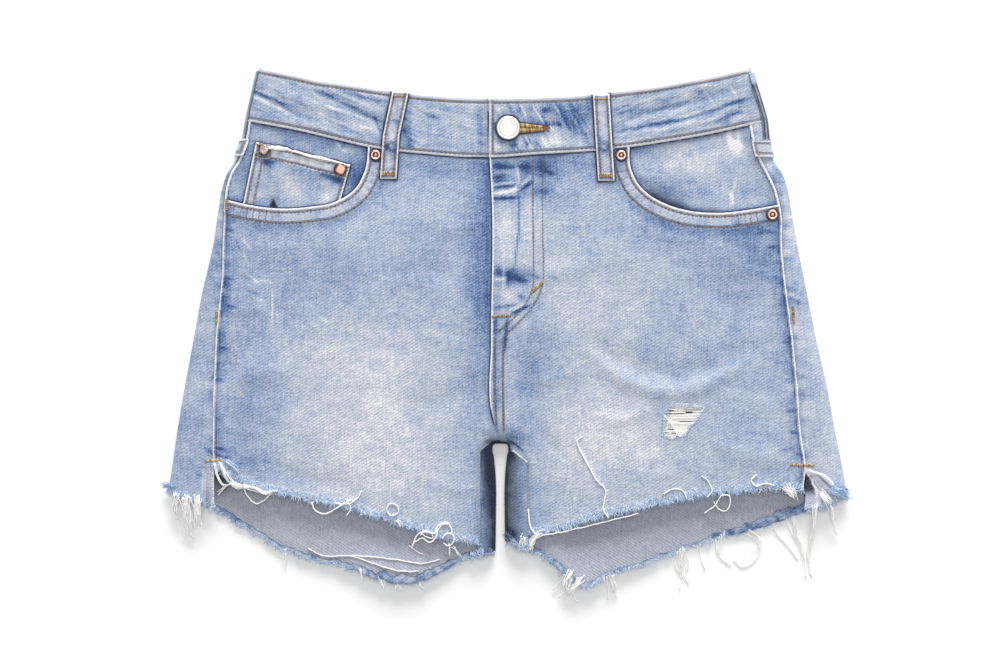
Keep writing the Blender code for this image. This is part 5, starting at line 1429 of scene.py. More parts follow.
def coinPocket():
    x, d, faces = trimmedGrid(np.concatenate([coinRim, spaced([coinRight[-1], coinLeft[-1]], 1.0)[1:-1]]),
        coin["step"])
    topAway, _ = nearest(coinTop, x, d)
    leftAway, _ = nearest(coinLeft, x, d)
    edgeAway, _ = nearest(coinRim, x, d)
    gapAway, _ = nearest(fronts[-1]["lines"]["pocket"], x, d)
    seamAway, seamRun = nearestOf(coinRows, x, d)
    shade = 0.62 + 0.16 * bell(topAway, 8) + 0.10 * noise(x, d, 7, 86) + spots(coinWashes, x, d)
    # painted shade: a dark line just below the turned hem, fainter in its middle
    shade = shade - 0.50 * bell(topAway - 12.6, 2.4) * (0.25 + 0.75 * ramp(np.abs(x + 153), 10, 26))
    # white along the hem's foot and the inner fold; a dark patch of stitching holds each rivet
    patch = np.maximum(np.abs(x + 177.8), np.abs(d - 60.4))
    inFold = np.where(topAway > 12, np.abs(leftAway - coin["fold"]) + 0.9, far)
    edgeAway = np.minimum(np.minimum(edgeAway, np.abs(topAway - 10.3) + 0.9), inFold)
    # painted shade in the small gape at the pocket's foot
    wide = 0.5 * np.clip(d - 95.2, 0, 9)
    notch = fade(np.abs(x + 171.6), wide - 0.5, wide + 0.6) * ramp(d, 95, 96.5)
    onHem = fade(topAway, coin["hemDeep"] - 0.5, coin["hemDeep"] + 1)
    worn = (0.5 + 0.35 * noise(x, d, 4, 89)) * onHem + 0.4 * fade(leftAway, coin["fold"], coin["fold"] + 1.5)
    # painted shade with unfaded dye: dark lines beside the front's pocket edge and round the inner rivet
    marks = {
        "wash": shade + onHem * (0.12 + 0.3 * noise(x, d, 3.4, 88)), "edgeAway": np.where(patch < 4.6, far, edgeAway),
        "seamAway": np.minimum(seamAway, np.where((patch < 4.6) & (patch > 2.6), 0.3, far)), "seamRun": seamRun,
        "gapAway": np.minimum(gapAway, np.abs(np.hypot(x + 121.6, d - 74.2) - 4.4)), "worn": np.clip(worn, 0, 1),
        "deep": np.maximum(notch, (patch < 4.9) * (0.62 + 0.5 * noise(x, d, 1.6, 87))),
    }
    cloth("coin-pocket-patch", coords(x, d, coinZ(x, d)), faces, marks, coin["wall"], ["coin-pocket"])


for side in (-1, 1):
    pocketFacing(side)
coinPocket()
print("pockets: done")


# belt loops
sideLoops = {  # side, from, to, how far in from the fold, the same at its tacked end, how far that stands out
    "belt-loop-side-left": (-1, 0.5, 63.8, 0.5, 4.4, 1.5), "belt-loop-side-right": (1, 2.0, 64.8, 3.0, 12.4, 0.2),
}


def loopZ(route, x, d):
    # carried over the band and the panel, arched between its tacks, with rolled rims and a sunken middle
    t = np.clip((d - route[0, 1]) / (route[-1, 1] - route[0, 1]), 0, 1)
    step = laid["bandRise"] * fade(d, bandBottom(x) + 1, bandBottom(x) + 6)
    lift = strap["gap"] + strap["wall"] + strap["arch"] * np.sin(t * math.pi) ** 0.7
    rim = strap["width"] / 2 - np.abs(x - np.interp(d, route[:, 1], route[:, 0]))
    profile = 0.25 * bell(rim - 1.4, 1.0) - 0.9 * rollOff(rim, 1.1)
    return tubeTop(x, d) + step + lift + profile + 0.12 * noise(x, d, 6, 90), rim


def strapCloth(name, points, faces, marks):
    wall = strap["wall"] - 0.1
    cloth(name + "-strap", points, faces, marks, wall, [name], (strapDenim, strapDenim), softEdge=0.0)


def beltLoop(name, route):
    route = np.array(route)
    down = np.linspace(route[0, 1], route[-1, 1], 60)[:, None]
    across = np.concatenate([[-1, -0.97, -0.91, -0.82], np.linspace(-0.7, 0.7, 13), [0.82, 0.91, 0.97, 1]])
    x = np.interp(down, route[:, 1], route[:, 0]) + strap["width"] / 2 * across
    d = np.broadcast_to(down, x.shape)
    z, rim = loopZ(route, x, d)
    ends = np.minimum(d - route[0, 1], route[-1, 1] - d)
    blue = bell(d - bandBottom(x) + 2, 4.5) * (0.85 + 0.4 * noise(x, d, 3, 96))
    blue = blue + 0.45 * bell(d - bandBottom(x) + 22, 4) * (0.5 + noise(x, d, 4, 97))
    shade = 0.66 + 0.3 * noise(x, d, 3.2, 91) - 0.16 * bell(rim - 3.4, 1.2) * (1 + noise(x, d, 5, 92))
    worn = (0.62 + 0.6 * noise(x, d, 3.4, 95)) * (1 - np.clip(1.2 * blue, 0, 1))
    # painted shade: dark lines beside the bar tacks near each end
    strapCloth(name, coords(x, d, z - 0.9 * fade(ends, 0, 1.5)), gridFaces(*x.shape), {
        "wash": shade - 0.6 * blue, "edgeAway": np.minimum(rim, ends), "seamAway": np.abs(rim - strap["row"]),
        "worn": np.clip(worn, 0, 1), "gapAway": np.minimum(np.abs(ends - 2.3), np.abs(ends - 7.0)) * 2 + 0.7,
    })


def sideLoop(name, side, start, end, narrow, broad, stand):
    # seen edge on: a strap wrapped round the fold, whose tacked end comes further round to the front
    tacked = end - 12.6
    down = np.linspace(start, end, 64)[:, None]
    nub = ramp(down, tacked - 0.8, tacked + 0.8)
    reach = narrow + (broad - narrow) * nub
    inward = reach * np.linspace(0, 1, 15) ** 1.3
    roll = readAt(lofts, "roll", down)
    under = np.broadcast_to(np.linspace(-0.35, 0, 4)[:-1], (len(down), 3))
    turn = np.concatenate([under, np.arccos(np.clip(1 - inward / roll, 0, 1))], axis=1)
    past = np.concatenate([np.zeros_like(under), np.maximum(inward - roll, 0)], axis=1)
    high = readAt(lofts, "crown", down) + laid["bandRise"] * fade(down, 40, 46) - laid["fold"]
    wide, tall = np.where(turn > 0, roll, laid["underRoll"]), np.where(turn > 0, high, laid["fold"])
    out, up = np.cos(turn) / wide, np.sin(turn) / tall
    lift = (strap["gap"] + 1.6 + stand * nub * np.cos(turn) ** 2) / np.hypot(out, up)
    x = outlineAt(side, down) + side * (lift * out - wide * (1 - np.cos(turn)) - past)
    z = laid["fold"] + tall * np.sin(turn) + lift * up + 0.1 * noise(down, turn * 8, 5, 93)
    d, nub = np.broadcast_to(down, x.shape), np.broadcast_to(nub, x.shape)
    ends = np.minimum(np.where(nub > 0.5, d - tacked, d - start), end - d)
    rim = np.concatenate([np.full(under.shape, far), reach - inward], axis=1)
    # painted shade: the right strap, seen edge on, goes near-black with paler streaks above its nub; the left one a
    # little darker all along
    streak = 0.62 + 0.38 * np.sin(rim * 3.4 + 1.2 * noise(0, d, 9, 98))
    strapCloth(name, coords(x, d, z), gridFaces(*x.shape)[:, ::-side], {
        "wash": 0.52 + 0.2 * nub + 0.16 * noise(x, d, 3, 94), "worn": 0.45 + 0.3 * nub,
        "deep": (0.95 * streak * ramp(d, 9, 11.5) if side > 0 else 0.25) * (1 - nub),
        "edgeAway": np.where(nub > 0.5, np.minimum(rim, ends), far),
        "seamAway": np.where(nub > 0.5, np.minimum(np.abs(ends - 2.6), np.abs(rim - 2.4)), far),
    })


for name, route in loops.items():
    beltLoop(name, route)
for name, sizes in sideLoops.items():
    sideLoop(name, *sizes)
print("belt loops: done")


# metal: each piece is a profile (radius, height) turned about its upright axis
metalProfiles = {  # radius, height, and how much of a hollow it is
    "button": (
        (0, -1.6, 1), (3, -1.6, 1), (3.2, -0.2, 1), (7.6, -0.1, 1), (8.5, 0.25, 1), (8.8, 0.9, 0.3), (8.75, 1.5, 0),
        (8.4, 2.05, 0), (7.9, 2.3, 0), (7.3, 2.32, 0), (6.95, 2.05, 0.5), (6.5, 2, 0.35), (6.2, 2.25, 0),
        (5.7, 2.4, 0),
        (5.2, 2.25, 0), (4.9, 2.05, 0.4), (4.4, 2.05, 0), (3, 2.1, 0), (0, 2.15, 0),
    ),
    "rivet": (
        (0, -0.7, 1), (3.3, -0.7, 1), (3.75, -0.2, 1), (3.8, 0.3, 0.7), (3.6, 0.75, 0.25), (3.1, 1.05, 0),
        (2.5, 1.1, 0),
        (2.1, 0.8, 0.2), (1.85, 0.3, 1), (1.4, 0.2, 1), (1.15, 0.45, 0.6), (0.8, 0.8, 0.2), (0.4, 0.9, 0.2),
        (0, 0.92, 0.2),
    ),
    "wornRivet": (
        (0, -0.7, 1), (3.2, -0.7, 1), (3.8, -0.2, 1), (3.9, 0.3, 0.8), (3.6, 0.8, 0.3), (2.9, 1.05, 0),
        (1.8, 0.95, 0),
        (0.9, 1.1, 0), (0, 1.12, 0),
    ),
}


def turned(name, profile, place, heightAt, sunk, finish, slot, square=0.0):
    (x, d), around = place, 48
    base = float(heightAt(np.array([x]), np.array([d]))[0]) + sunk
    radius, height, hollow = np.array(metalProfiles[profile], float).T[:, ::-1]
    turn = np.linspace(0, 2 * math.pi, around, endpoint=False)
    # hammered a little out of round: wider at four corners
    ring = radius[1:-1, None] * (1 + square * np.cos(4 * (turn - 0.3)) * ramp(radius[1:-1, None], 0.5, 3.0))
    points = coords(x + ring * np.cos(turn), d - ring * np.sin(turn), base + height[1:-1, None]).reshape(-1, 3)
    middle, last = len(points), len(points) - around
    points = np.concatenate([points, [(x, d, base + height[0]), (x, d, base + height[-1])]])
    faces = gridFaces(len(radius) - 2, around, closed=True).tolist()
    faces += [(middle, k, (k + 1) % around) for k in range(around)]
    faces += [(middle + 1, last + (k + 1) % around, last + k) for k in range(around)]
    marks = {"hollow": np.concatenate([np.repeat(hollow[1:-1], around), hollow[[0, -1]]])}
    makePiece(name + "-cap", points, faces, [finish], marks, slot=slot, replaces=[name])


def bandTopZ(x, d):
    return np.where(x > band["lapAt"], bandZ(x, d, lapOver), bandZ(x, d, lapUnder))


leftTop, rightTop = (lambda x, d: frontZ(-1, x, d)), (lambda x, d: frontZ(1, x, d))
for name, top, place in (
    ("rivet-pocket-left", leftTop, pocketRivets[-1][0]), ("rivet-pocket-right", rightTop, pocketRivets[1][0]),
    ("rivet-pocket-side", rightTop, pocketRivets[1][1]),
):
    turned(name, "rivet", place, top, 0.35, copper, "copper")
turned("rivet-coin-outer", "wornRivet", (-178.4, 59.4), coinZ, 0.35, wornCopper, "copper", 0.02)
turned("rivet-coin-inner", "wornRivet", (-121.6, 74.2), coinZ, 0.35, rubbedCopper, "copper", 0.09)
turned("button", "button", buttonAt, bandTopZ, 0.9, silver, "silvered_metal")
print("button and rivets: done")


# sewing: every stitch is a short arc of thread that dips into the cloth at both ends
sewing = {
    "pitch": 3.2, "share": 0.8, "radius": 0.34, "sink": 0.4, "stand": 0.2, "tackStep": 0.62, "tackRadius": 0.36,
}


def stitches(line, heightAt, pitch=sewing["pitch"]):
    run = runOf(line)
    starts = np.arange(pitch * 0.3, run[-1] - pitch * 0.7, pitch)
    at = starts[:, None] + pitch * sewing["share"] * np.linspace(0, 1, 5)
    x, d = np.interp(at, run, line[:, 0]), np.interp(at, run, line[:, 1])
    foot, shoulder, top = -sewing["sink"], sewing["stand"] * 0.7, sewing["stand"]
    return coords(x, d, heightAt(x, d) + np.array([foot, shoulder, top, shoulder, foot]))


def tack(start, end, width, heightAt):
    # a dense bar: threads across it from end to end, each crowned, and slanted to its neighbour
    start, end = np.array(start, float), np.array(end, float)
    length = np.linalg.norm(end - start)
    along = (end - start) / length
    across = np.array([-along[1], along[0]])
    at = np.arange(0, length, sewing["tackStep"])[:, None]
    t = np.linspace(-0.5, 0.5, 5)
    slant = sewing["tackStep"] * 0.5 * np.where(np.arange(len(at)) % 2, 1, -1)[:, None]
    x = start[0] + along[0] * (at + slant * t * 2) + across[0] * width * t
    d = start[1] + along[1] * (at + slant * t * 2) + across[1] * width * t
    crown = np.array([-0.35, 0.35, 0.55, 0.35, -0.35])
    return coords(x, d, heightAt(x, d) + crown)


def joined(groups):
    # several batches of tubes as one mesh: each batch is paths, radius and tint
    verts, faces, tints, count = [], [], [], 0
    for paths, radii, tint in groups:
        v, f = tubes(paths, radii)
        faces.append(f + count)
        count += len(v)
        verts.append(v)
        tint = np.broadcast_to(tint, len(paths)) if np.ndim(tint) < 2 else tint
        tints.append(np.repeat(tint, len(v) // len(paths)))
    return np.concatenate(verts), np.concatenate(faces), np.concatenate(tints)


def threads(name, groups, finish, slot=None, replaces=()):
    points, faces, tint = joined(groups)
    makePiece(name, points, faces, [finish], {"tint": tint}, slot=slot, replaces=replaces)


def varied(count, seed, low=0.2, high=0.9):
    return np.random.default_rng(seed).uniform(low, high, count)


def sewn(name, rows, finish, seed, low=0.2, high=0.9, pitch=sewing["pitch"]):
    batches = [stitches(line, heightAt, pitch) for line, heightAt in rows]
    return threads(name, [
        (paths, sewing["radius"] * np.array([0.7, 1, 1, 1, 0.7]), varied(len(paths), seed + k, low, high))
        for k, paths in enumerate(batches)
    ], finish)


bandRows, endX = [], band["lapAt"] + band["rowEnd"]
for low, high, past in ((-180.0, band["lapAt"] - 1.0, (-4, 0)), (endX, 179.0, (0, 4))):
    x = np.arange(low, high, 2.0)
    bandRows.append((coords(x, bandTop(x) + band["rowTop"]), bandTopZ))
    x = np.arange(low + past[0], high + past[1], 2.0)
    bandRows.append((coords(x, bandBottom(x) - band["rowBottom"]), bandTopZ))
endDown = np.linspace(bandTop(endX) + band["rowTop"], bandBottom(endX) - band["rowBottom"], 20)
bandRows.append((coords(endX, endDown), bandTopZ))
sewn("topstitching-band", bandRows, greyThread, 100)


def loopTop(route):
    return lambda x, d: loopZ(np.array(route), x, d)[0]


panelRows = [(fronts[-1]["rows"][key], leftTop) for key in ("rowNear", "rowFar")]
panelRows += [(fronts[1]["rows"][key], rightTop) for key in ("rowNear", "rowFar", "flyInner", "flyOuter")]
panelRows += [(row, coinZ) for row in coinRows]
panelRows += [
    (sideways(curved(route, 2.0)[2:-2], away), loopTop(route)) for route in loops.values() for away in (-4.2, 4.2)
]
sewn("topstitching-panels", panelRows, greyThread, 120, pitch=3.0)
crotchRows = [(fronts[1]["rows"][key], rightTop) for key in ("crotchOuter", "crotchInner")]
sewn("topstitching-crotch", crotchRows, goldThread, 140, 0.0, 0.5)


def seamTop(side):
    return lambda x, d: np.maximum(frontZ(side, x, d), tubeTop(x, d) + softness(x, d) * 0.7)


def tacks():
    places = [
        ((-9.0, 182.9), (5.2, 182.4), 2.0, rightTop), ((19.8, 165.2), (28.6, 157.4), 2.9, rightTop),
        ((-205.9, 97.0), (-206.3, 104.2), 2.6, seamTop(-1)), ((-213.4, 179.6), (-213.8, 188.6), 1.6, seamTop(-1)),
        ((213.6, 176.0), (214.6, 188.2), 1.6, seamTop(1)), ((-221.4, 289.9), (-209.4, 289.4), 2.3, seamTop(-1)),
        ((211.6, 292.9), (229.0, 293.4), 1.9, seamTop(1)), ((-183.4, 55.4), (-173.6, 57.2), 1.1, coinZ),
    ]
    for route in loops.values():
        x, down = np.array(route).T
        for d in (down[0] + 3.6, down[-1] - 3.5, down[-1] - 4.9):
            middle = np.interp(d, down, x)
            places.append(((middle - 4.6, d), (middle + 4.6, d), 1.7, loopTop(route)))
    bars = [tack(*place) for place in places]
    threads("bar-tacks", [
        (paths, sewing["tackRadius"], varied(len(paths), 160 + k, 0.1, 1.0)) for k, paths in enumerate(bars)
    ], goldThread)


def buttonhole():
    # two lips of dense cross stitches that draw together at the outer end, where a few threads fray
    (x0, d0), end = buttonAt, buttonholeEnd
    at = np.arange(x0 + 5.5, end, 0.5)
    share = (at - x0) / (end - x0)
    half = 4.3 - 2.5 * share ** 1.3
    groups = []
    for way in (-1, 1):
        t = np.linspace(0.03, 1, 5)
        x = at[:, None] + 0.3 * t * way
        d = d0 + 0.4 * share[:, None] + way * half[:, None] * t
        crown = np.array([0.25, 0.75, 0.95, 0.75, 0.1])
        groups.append((coords(x, d, bandTopZ(x, d) + crown), 0.33, varied(len(at), 190 + way, 0.1, 1.0)))
    wild, count = np.random.default_rng(195), 14
    start = coords(end - 0.5, d0 + 0.4 + wild.uniform(-1.5, 1.5, count))
    reach = coords(wild.uniform(2, 6, count), wild.uniform(-2, 2, count))
    t = np.linspace(0, 1, 5)[None, :, None]
    flat = start[:, None] + reach[:, None] * t + np.array([0, 1.2]) * t * t * wild.uniform(-1, 1, (count, 1, 1))
    x, d = flat[..., 0], flat[..., 1]
    groups.append((coords(x, d, bandTopZ(x, d) + 0.3), 0.2, varied(count, 196, 0.0, 0.3)))
    threads("buttonhole-threads", groups, goldThread)


tacks()
buttonhole()
print("sewing: done")


# the rip: weft threads still cross it, some sagging, and the cut warp stands out as fluff
ripSlits = (  # where the weft parts: across from, across to, down
    (133, 145.5, 252.1), (134.2, 139, 254), (118.5, 133, 255.3), (120.5, 125, 253), (130, 142.5, 260.8),
    (121, 125, 266.8), (117.5, 121.5, 269.6), (118.5, 122, 272.2), (123.5, 127, 269.5), (126, 129, 272),
)
ripStrays = (  # threads that hang across it
    [(118.2, 256.4), (123, 261.7), (126.9, 267.7), (128.3, 269.6)],
    [(127.2, 268), (127, 271), (126, 273.1)], [(128, 269), (129.2, 271), (129.9, 272.7)],
)


def ripThreads():
    wild = np.random.default_rng(210)
    groups = []
    for d in np.arange(248.6, 274.0, 0.72):
        xs = np.linspace(115, 150, 400)
        within = xs[inside(rip, xs, np.full(400, d))]
        if len(within) < 4:
            continue
        low, high = within[0] - 1.6, within[-1] + 1.6
        spans = [(low, high)]
        for start, end, at in ripSlits:
            if abs(at - d) < 0.40:
                halves = [half for x0, x1 in spans for half in ((x0, min(x1, start)), (max(x0, end), x1))]
                spans = [half for half in halves if half[1] - half[0] > 1.5]
        for x0, x1 in spans:
            t = np.linspace(0, 1, 12)
            x = x0 + (x1 - x0) * t
            down = d + 0.25 * noise(x, d, 6, 211) + wild.uniform(-0.15, 0.15)
            sag = np.sin(math.pi * np.clip((x - low) / (high - low), 0, 1))
            z = rightTop(x, down) - 0.45 - 0.5 * sag * wild.uniform(0.5, 1.0)
            radii = 0.46 * np.sin(math.pi * (0.12 + 0.76 * t)) ** 0.4
            groups.append((coords(x, down, z)[None], radii, wild.uniform(0.55, 0.9)))
    for line in ripStrays:
        x, d = curved(line, 1.0).T
        groups.append((coords(x, d, rightTop(x, d) + 0.5)[None], 0.4, 0.95))
    edge = spaced(np.vstack([rip, rip[:1]]), 0.55)
    middle, count = rip.mean(axis=0), len(edge)
    inward = (middle - edge) / np.linalg.norm(middle - edge, axis=1, keepdims=True)
    reach = wild.uniform(0.6, 2.6, (count, 1, 1))
    t = np.linspace(-0.5, 1, 4)[None, :, None]
    flat = edge[:, None] + inward[:, None] * t * reach + wild.normal(0, 0.5, (count, 1, 2)) * t * t
    x, d = flat[..., 0], flat[..., 1]
    fluff = [(coords(x, d, rightTop(x, d) + 0.25), 0.2, wild.uniform(0.45, 1.0, count))]
    threads("rip-fluff", fluff, rawCotton, slot="raw_weft")
    threads("rip-weft-threads", groups, bareWeft, slot="raw_weft")


ripThreads()


# frayed hems: short fibres in tufts along each raw edge, most of them light blue warp ends
def backTop(x, d):
    side = np.where(x < laid["slotX"], -1, 1)
    low = np.where(side < 0, readAt(backHems[-1], "down", x), readAt(backHems[1], "down", x)) - laid["backFray"]
    return 1.1 + np.maximum(backLift(x, d, low), 0)


def curlTop(x, d):
    return backTop(x, d) + curled["radius"] - 0.9


fraying = {
    kind: dict(zip(("perMillimetre", "into", "shortest", "longest", "radius", "blue", "drop"), sizes))
    for kind, sizes in {
        # fibres in a millimetre, how far in they start, their lengths, radius, share of blue, how far they drop
        "front": (8.0, 5.5, 1.6, 4.8, 0.25, 0.72, 1.6),
        "back": (4.0, 1.0, 1.0, 3.4, 0.24, 0.70, 1.2),
        "strip": (7.0, 4.0, 1.4, 4.6, 0.25, 0.72, 2.5),
    }.items()
}


def fray(name, kind, line, heightAt, seed, hairs=(), replaces=()):
    # fibres that start on the cloth and reach over its raw edge, all leaning the way of their tuft
    sizes = fraying[kind]
    wild = np.random.default_rng(seed)
    run = runOf(line)
    count = int(run[-1] * sizes["perMillimetre"])
    at = np.sort(wild.uniform(0, run[-1], count))
    x, d = np.interp(at, run, line[:, 0]), np.interp(at, run, line[:, 1])
    ahead = np.stack([np.interp(at + 1, run, column) - np.interp(at - 1, run, column) for column in line.T]) + 1e-6
    ahead = ahead * np.sign(line[-1, 0] - line[0, 0])
    out = np.arctan2(ahead[0], -ahead[1])
    start = wild.uniform(-sizes["into"], 0.8, count)
    length = sizes["shortest"] + (sizes["longest"] - sizes["shortest"]) * wild.uniform(0, 1, count) ** 1.6
    lean = 0.8 * noise(at, start, 3.6, seed + 2)
    angle = out + lean + 0.5 * noise(at, start, 11, seed + 5) + wild.normal(0, 0.18, count)
    hair = np.zeros(count, bool)
    for x0, wide, most, share in hairs:
        near = (np.abs(x - x0) < wide) & (wild.uniform(0, 1, count) < share)
        hair |= near
        length = np.where(near, wild.uniform(0.3, 1, count) * most, length)
    start = np.where(hair, 0.0, start)
    t = np.linspace(0, 1, 5)
    reach = length[:, None] * t
    bend = wild.normal(0, 0.35, count)[:, None] * length[:, None] * t**2
    bend = bend + 0.25 * noise(at[:, None] * 3, t * 4, 1.0, seed + 3)
    c, s = np.cos(angle)[:, None], np.sin(angle)[:, None]
    across = (x + np.cos(out) * start)[:, None] + c * reach - s * bend
    down = (d + np.sin(out) * start)[:, None] + s * reach + c * bend
    rise = 0.05 + 0.4 * wild.uniform(0, 1, count)[:, None] * np.sin(math.pi * np.minimum(t * 1.2, 1))
    past = np.maximum(start[:, None] + reach, 0)
    z = heightAt(x, d)[:, None] + rise - sizes["drop"] * (past / 6) ** 1.4 * wild.uniform(0.2, 1, count)[:, None]
    blue = wild.uniform(0, 1, count) < sizes["blue"]
    blueTint = 0.50 + 0.13 * noise(at, start, 2.2, seed + 4) + wild.normal(0, 0.06, count)
    tint = np.where(blue, blueTint, wild.uniform(0.66, 0.92, count))
    tint = np.where(hair, 1.0, np.clip(tint, 0.1, 1))
    thick = np.where(hair, 0.6, wild.uniform(0.7, 1.2, count))[:, None]
    radii = sizes["radius"] * np.array([0.7, 1.1, 1.0, 0.8, 0.4]) * thick
    threads(name, [(coords(across, down, np.maximum(z, 0.3)), radii, tint)], rawCotton, "raw_weft", replaces)


def stripTop(x, d):
    return tubeTop(x, np.minimum(d, 352)) - 0.3


for side, top in ((-1, leftTop), (1, rightTop)):
    hem, lower, own = fronts[side]["lines"]["hem"][::4], backHemAt(side), word(side)
    fray("fray-front-" + own, "front", hem, top, 230 + side, replaces=["fringe-front-" + own])
    xs = np.linspace(-249, -12, 400) if side < 0 else np.linspace(6, 251, 400)
    # where longer hairs stand: middle, reach, longest, share
    hairs = [(-110, 130, 9, 0.10)] if side < 0 else [(130, 120, 8, 0.10), (225, 24, 14, 0.10), (55, 16, 12, 0.12)]
    fray("fray-back-" + own, "back", coords(xs, lower(xs)), curlTop, 240 + side, hairs, ["fringe-back-" + own])
    # the strip turned over the front, and the inner thigh's lower end
    low = 323.0 if side < 0 else 322.0
    strip = np.linspace(outlineAt(side, low), sideSeamAt(side, low), 12)
    thigh = laid["slotX"] + side * np.linspace(3.4, 21, 12)
    for part, xs in (("strip", strip), ("thigh", thigh)):
        fray("fray-%s-%s" % (part, own), "strip", coords(xs, lower(xs))[::side], stripTop, 250 + side + len(part))
print("frayed hems: done")


# loose threads, each listed: radius, then across and down of each of its points
looseThreads = [
    (0.4, -209, 294, -203, 303, -192, 310, -180, 313, -168, 312),
    (0.42, -193, 311, -189.4, 317.4, -184.8, 321.6, -178, 319, -171, 312),
    (0.5, -143, 321, -140, 327, -133, 329, -126, 326, -118, 321, -113, 319), (0.4, -118, 318, -114, 324, -117, 331),
    (0.4, -87.5, 326, -86, 322.5, -83, 321.5, -79.5, 323, -78.5, 326, -80, 329.5, -83, 330.5, -86, 329, -87.7,
     325.6),
    (0.5, -69, 353.6, -62.8, 343.7, -57.4, 342.3, -52.1, 343.7, -48.5, 337.4, -43.1, 335.6, -39.5, 340, -39.5, 345),
    (0.5, -66.4, 350, -61, 347.3, -55.6, 350.4, -51.1, 347.3, -49.4, 341, -45.8, 336.6, -41.3, 337),
    (0.4, -61.9, 343.7, -58.3, 346.4, -52.9, 346.8, -54.7, 342.8, -59.2, 342.2, -62.5, 345.5),
    (0.38, -71, 353, -66, 357, -60.5, 359.5),
    (0.4, -46, 348, -44, 344.5, -40, 344, -37.5, 347, -38.5, 351, -42, 353, -45.5, 351),
    (0.4, 11.5, 354.5, 12, 352.5, 13.5, 351.8, 15, 352.8, 15.2, 354.8, 13.8, 356, 12.2, 355.6),
    (0.5, 17.4, 326, 18.4, 335, 20, 341, 23.4, 345), (0.4, -126, 321, -121, 322, -114, 321, -108, 316, -106, 312),
    (0.38, 24, 346, 41, 343, 71, 336, 99, 329),
    (0.42, 58, 272, 54, 274, 55, 280, 59, 288, 63, 295, 68, 304, 75, 312, 74, 319, 73, 325, 77, 332),
    (0.4, 146, 301, 151.5, 306, 153.5, 312, 150, 317),
    (0.42, 148, 329, 156, 323, 162, 315, 166.5, 316, 167.5, 321, 164, 327, 158, 325, 155, 320),
    (0.4, 200, 308, 191, 307, 187, 309, 183, 304, 187, 300), (0.38, 117, 315, 124, 311, 132, 312, 135, 318),
    (0.5, 215, 328, 219, 349, 223, 363, 224, 377), (0.5, 232, 322, 228, 345, 225, 361, 228, 376),
    (0.42, 242, 325, 244, 337, 247, 345), (0.42, 198, 331, 203, 345, 212, 355, 218, 363),
    (0.4, 208, 329, 212, 341, 216, 349), (0.4, 172, 343, 183, 346, 190, 355, 186, 364, 177, 369, 170, 364),
    (0.42, 157, 348, 158, 358, 165, 366, 168, 368), (0.42, 145, 352, 146, 361, 149, 371),
    (0.42, 129, 357, 127, 368, 132, 376, 130, 386), (0.42, 133, 355, 137, 366, 134, 376, 137, 382),
    (0.42, 76, 376, 77, 386, 77, 393), (0.42, 80, 375, 83, 384, 83, 392), (0.42, 50, 378, 46, 386, 41, 392),
    (0.42, 54, 381, 51, 388, 54, 395), (0.42, 45, 374, 40, 381, 36, 386),
    (0.4, -146, 355, -137, 360, -113, 361, -98, 366, -76, 372, -64, 372),
    (0.38, -113, 360, -83, 363, -59, 366, -48, 363),
]
droop = {"slope": 0.3, "front": 14.0, "strip": 45.0}  # how a stiff strand falls past the edge it comes from


def clothTop(x, d):
    # what holds a loose thread up: a front panel or a turned-over strip, and a little past its edge the strand's
    # own stiffness, or else the back's inner face, and then the surface
    front, back = np.zeros(np.shape(x)), np.zeros(np.shape(x))
    for side in (-1, 1):
        here = (x < laid["slotX"]) if side < 0 else (x >= laid["slotX"])
        front = np.where(here, readAt(frontHems[side], "down", x) - laid["fray"], front)
        back = np.where(here, readAt(backHems[side], "down", x) - laid["backFray"], back)
    onStrip = (x < sideSeamAt(-1, d)) | (x > sideSeamAt(1, d))
    edge, reach = np.where(onStrip, back, front), np.where(onStrip, droop["strip"], droop["front"])
    held = np.minimum(d, edge)
    high = np.where(x < laid["slotX"], frontZ(-1, x, held), frontZ(1, x, held))
    past = np.maximum(d - edge, 0)
    hung = np.where(past < reach, np.where(onStrip, tubeTop(x, held), high) - droop["slope"] * past, 0)
    low = backTop(x, np.minimum(d, back)) - droop["slope"] * np.maximum(d - back, 0)
    return np.maximum(np.maximum(hung, np.where(onStrip, 0, low)) + 0.3, 0.35)


def floated(z):
    # a stiff thread spans the drops below it
    for _ in range(3):
        z = np.maximum(z, np.convolve(np.pad(z, 6, mode="edge"), np.ones(13) / 13, mode="valid"))
    return z


def looseEnds():
    groups = []
    for k, (radius, *route) in enumerate(looseThreads):
        x, d = curved(np.reshape(route, (-1, 2)), 1.0).T
        x, d = x + 0.35 * noise(x, d, 3, 260 + k), d + 0.35 * noise(d, x, 3, 290 + k)
        groups.append((coords(x, d, floated(clothTop(x, d)) + radius)[None], radius * 1.5, 0.9))
    threads("loose-threads", groups, bareWeft, slot="raw_weft")


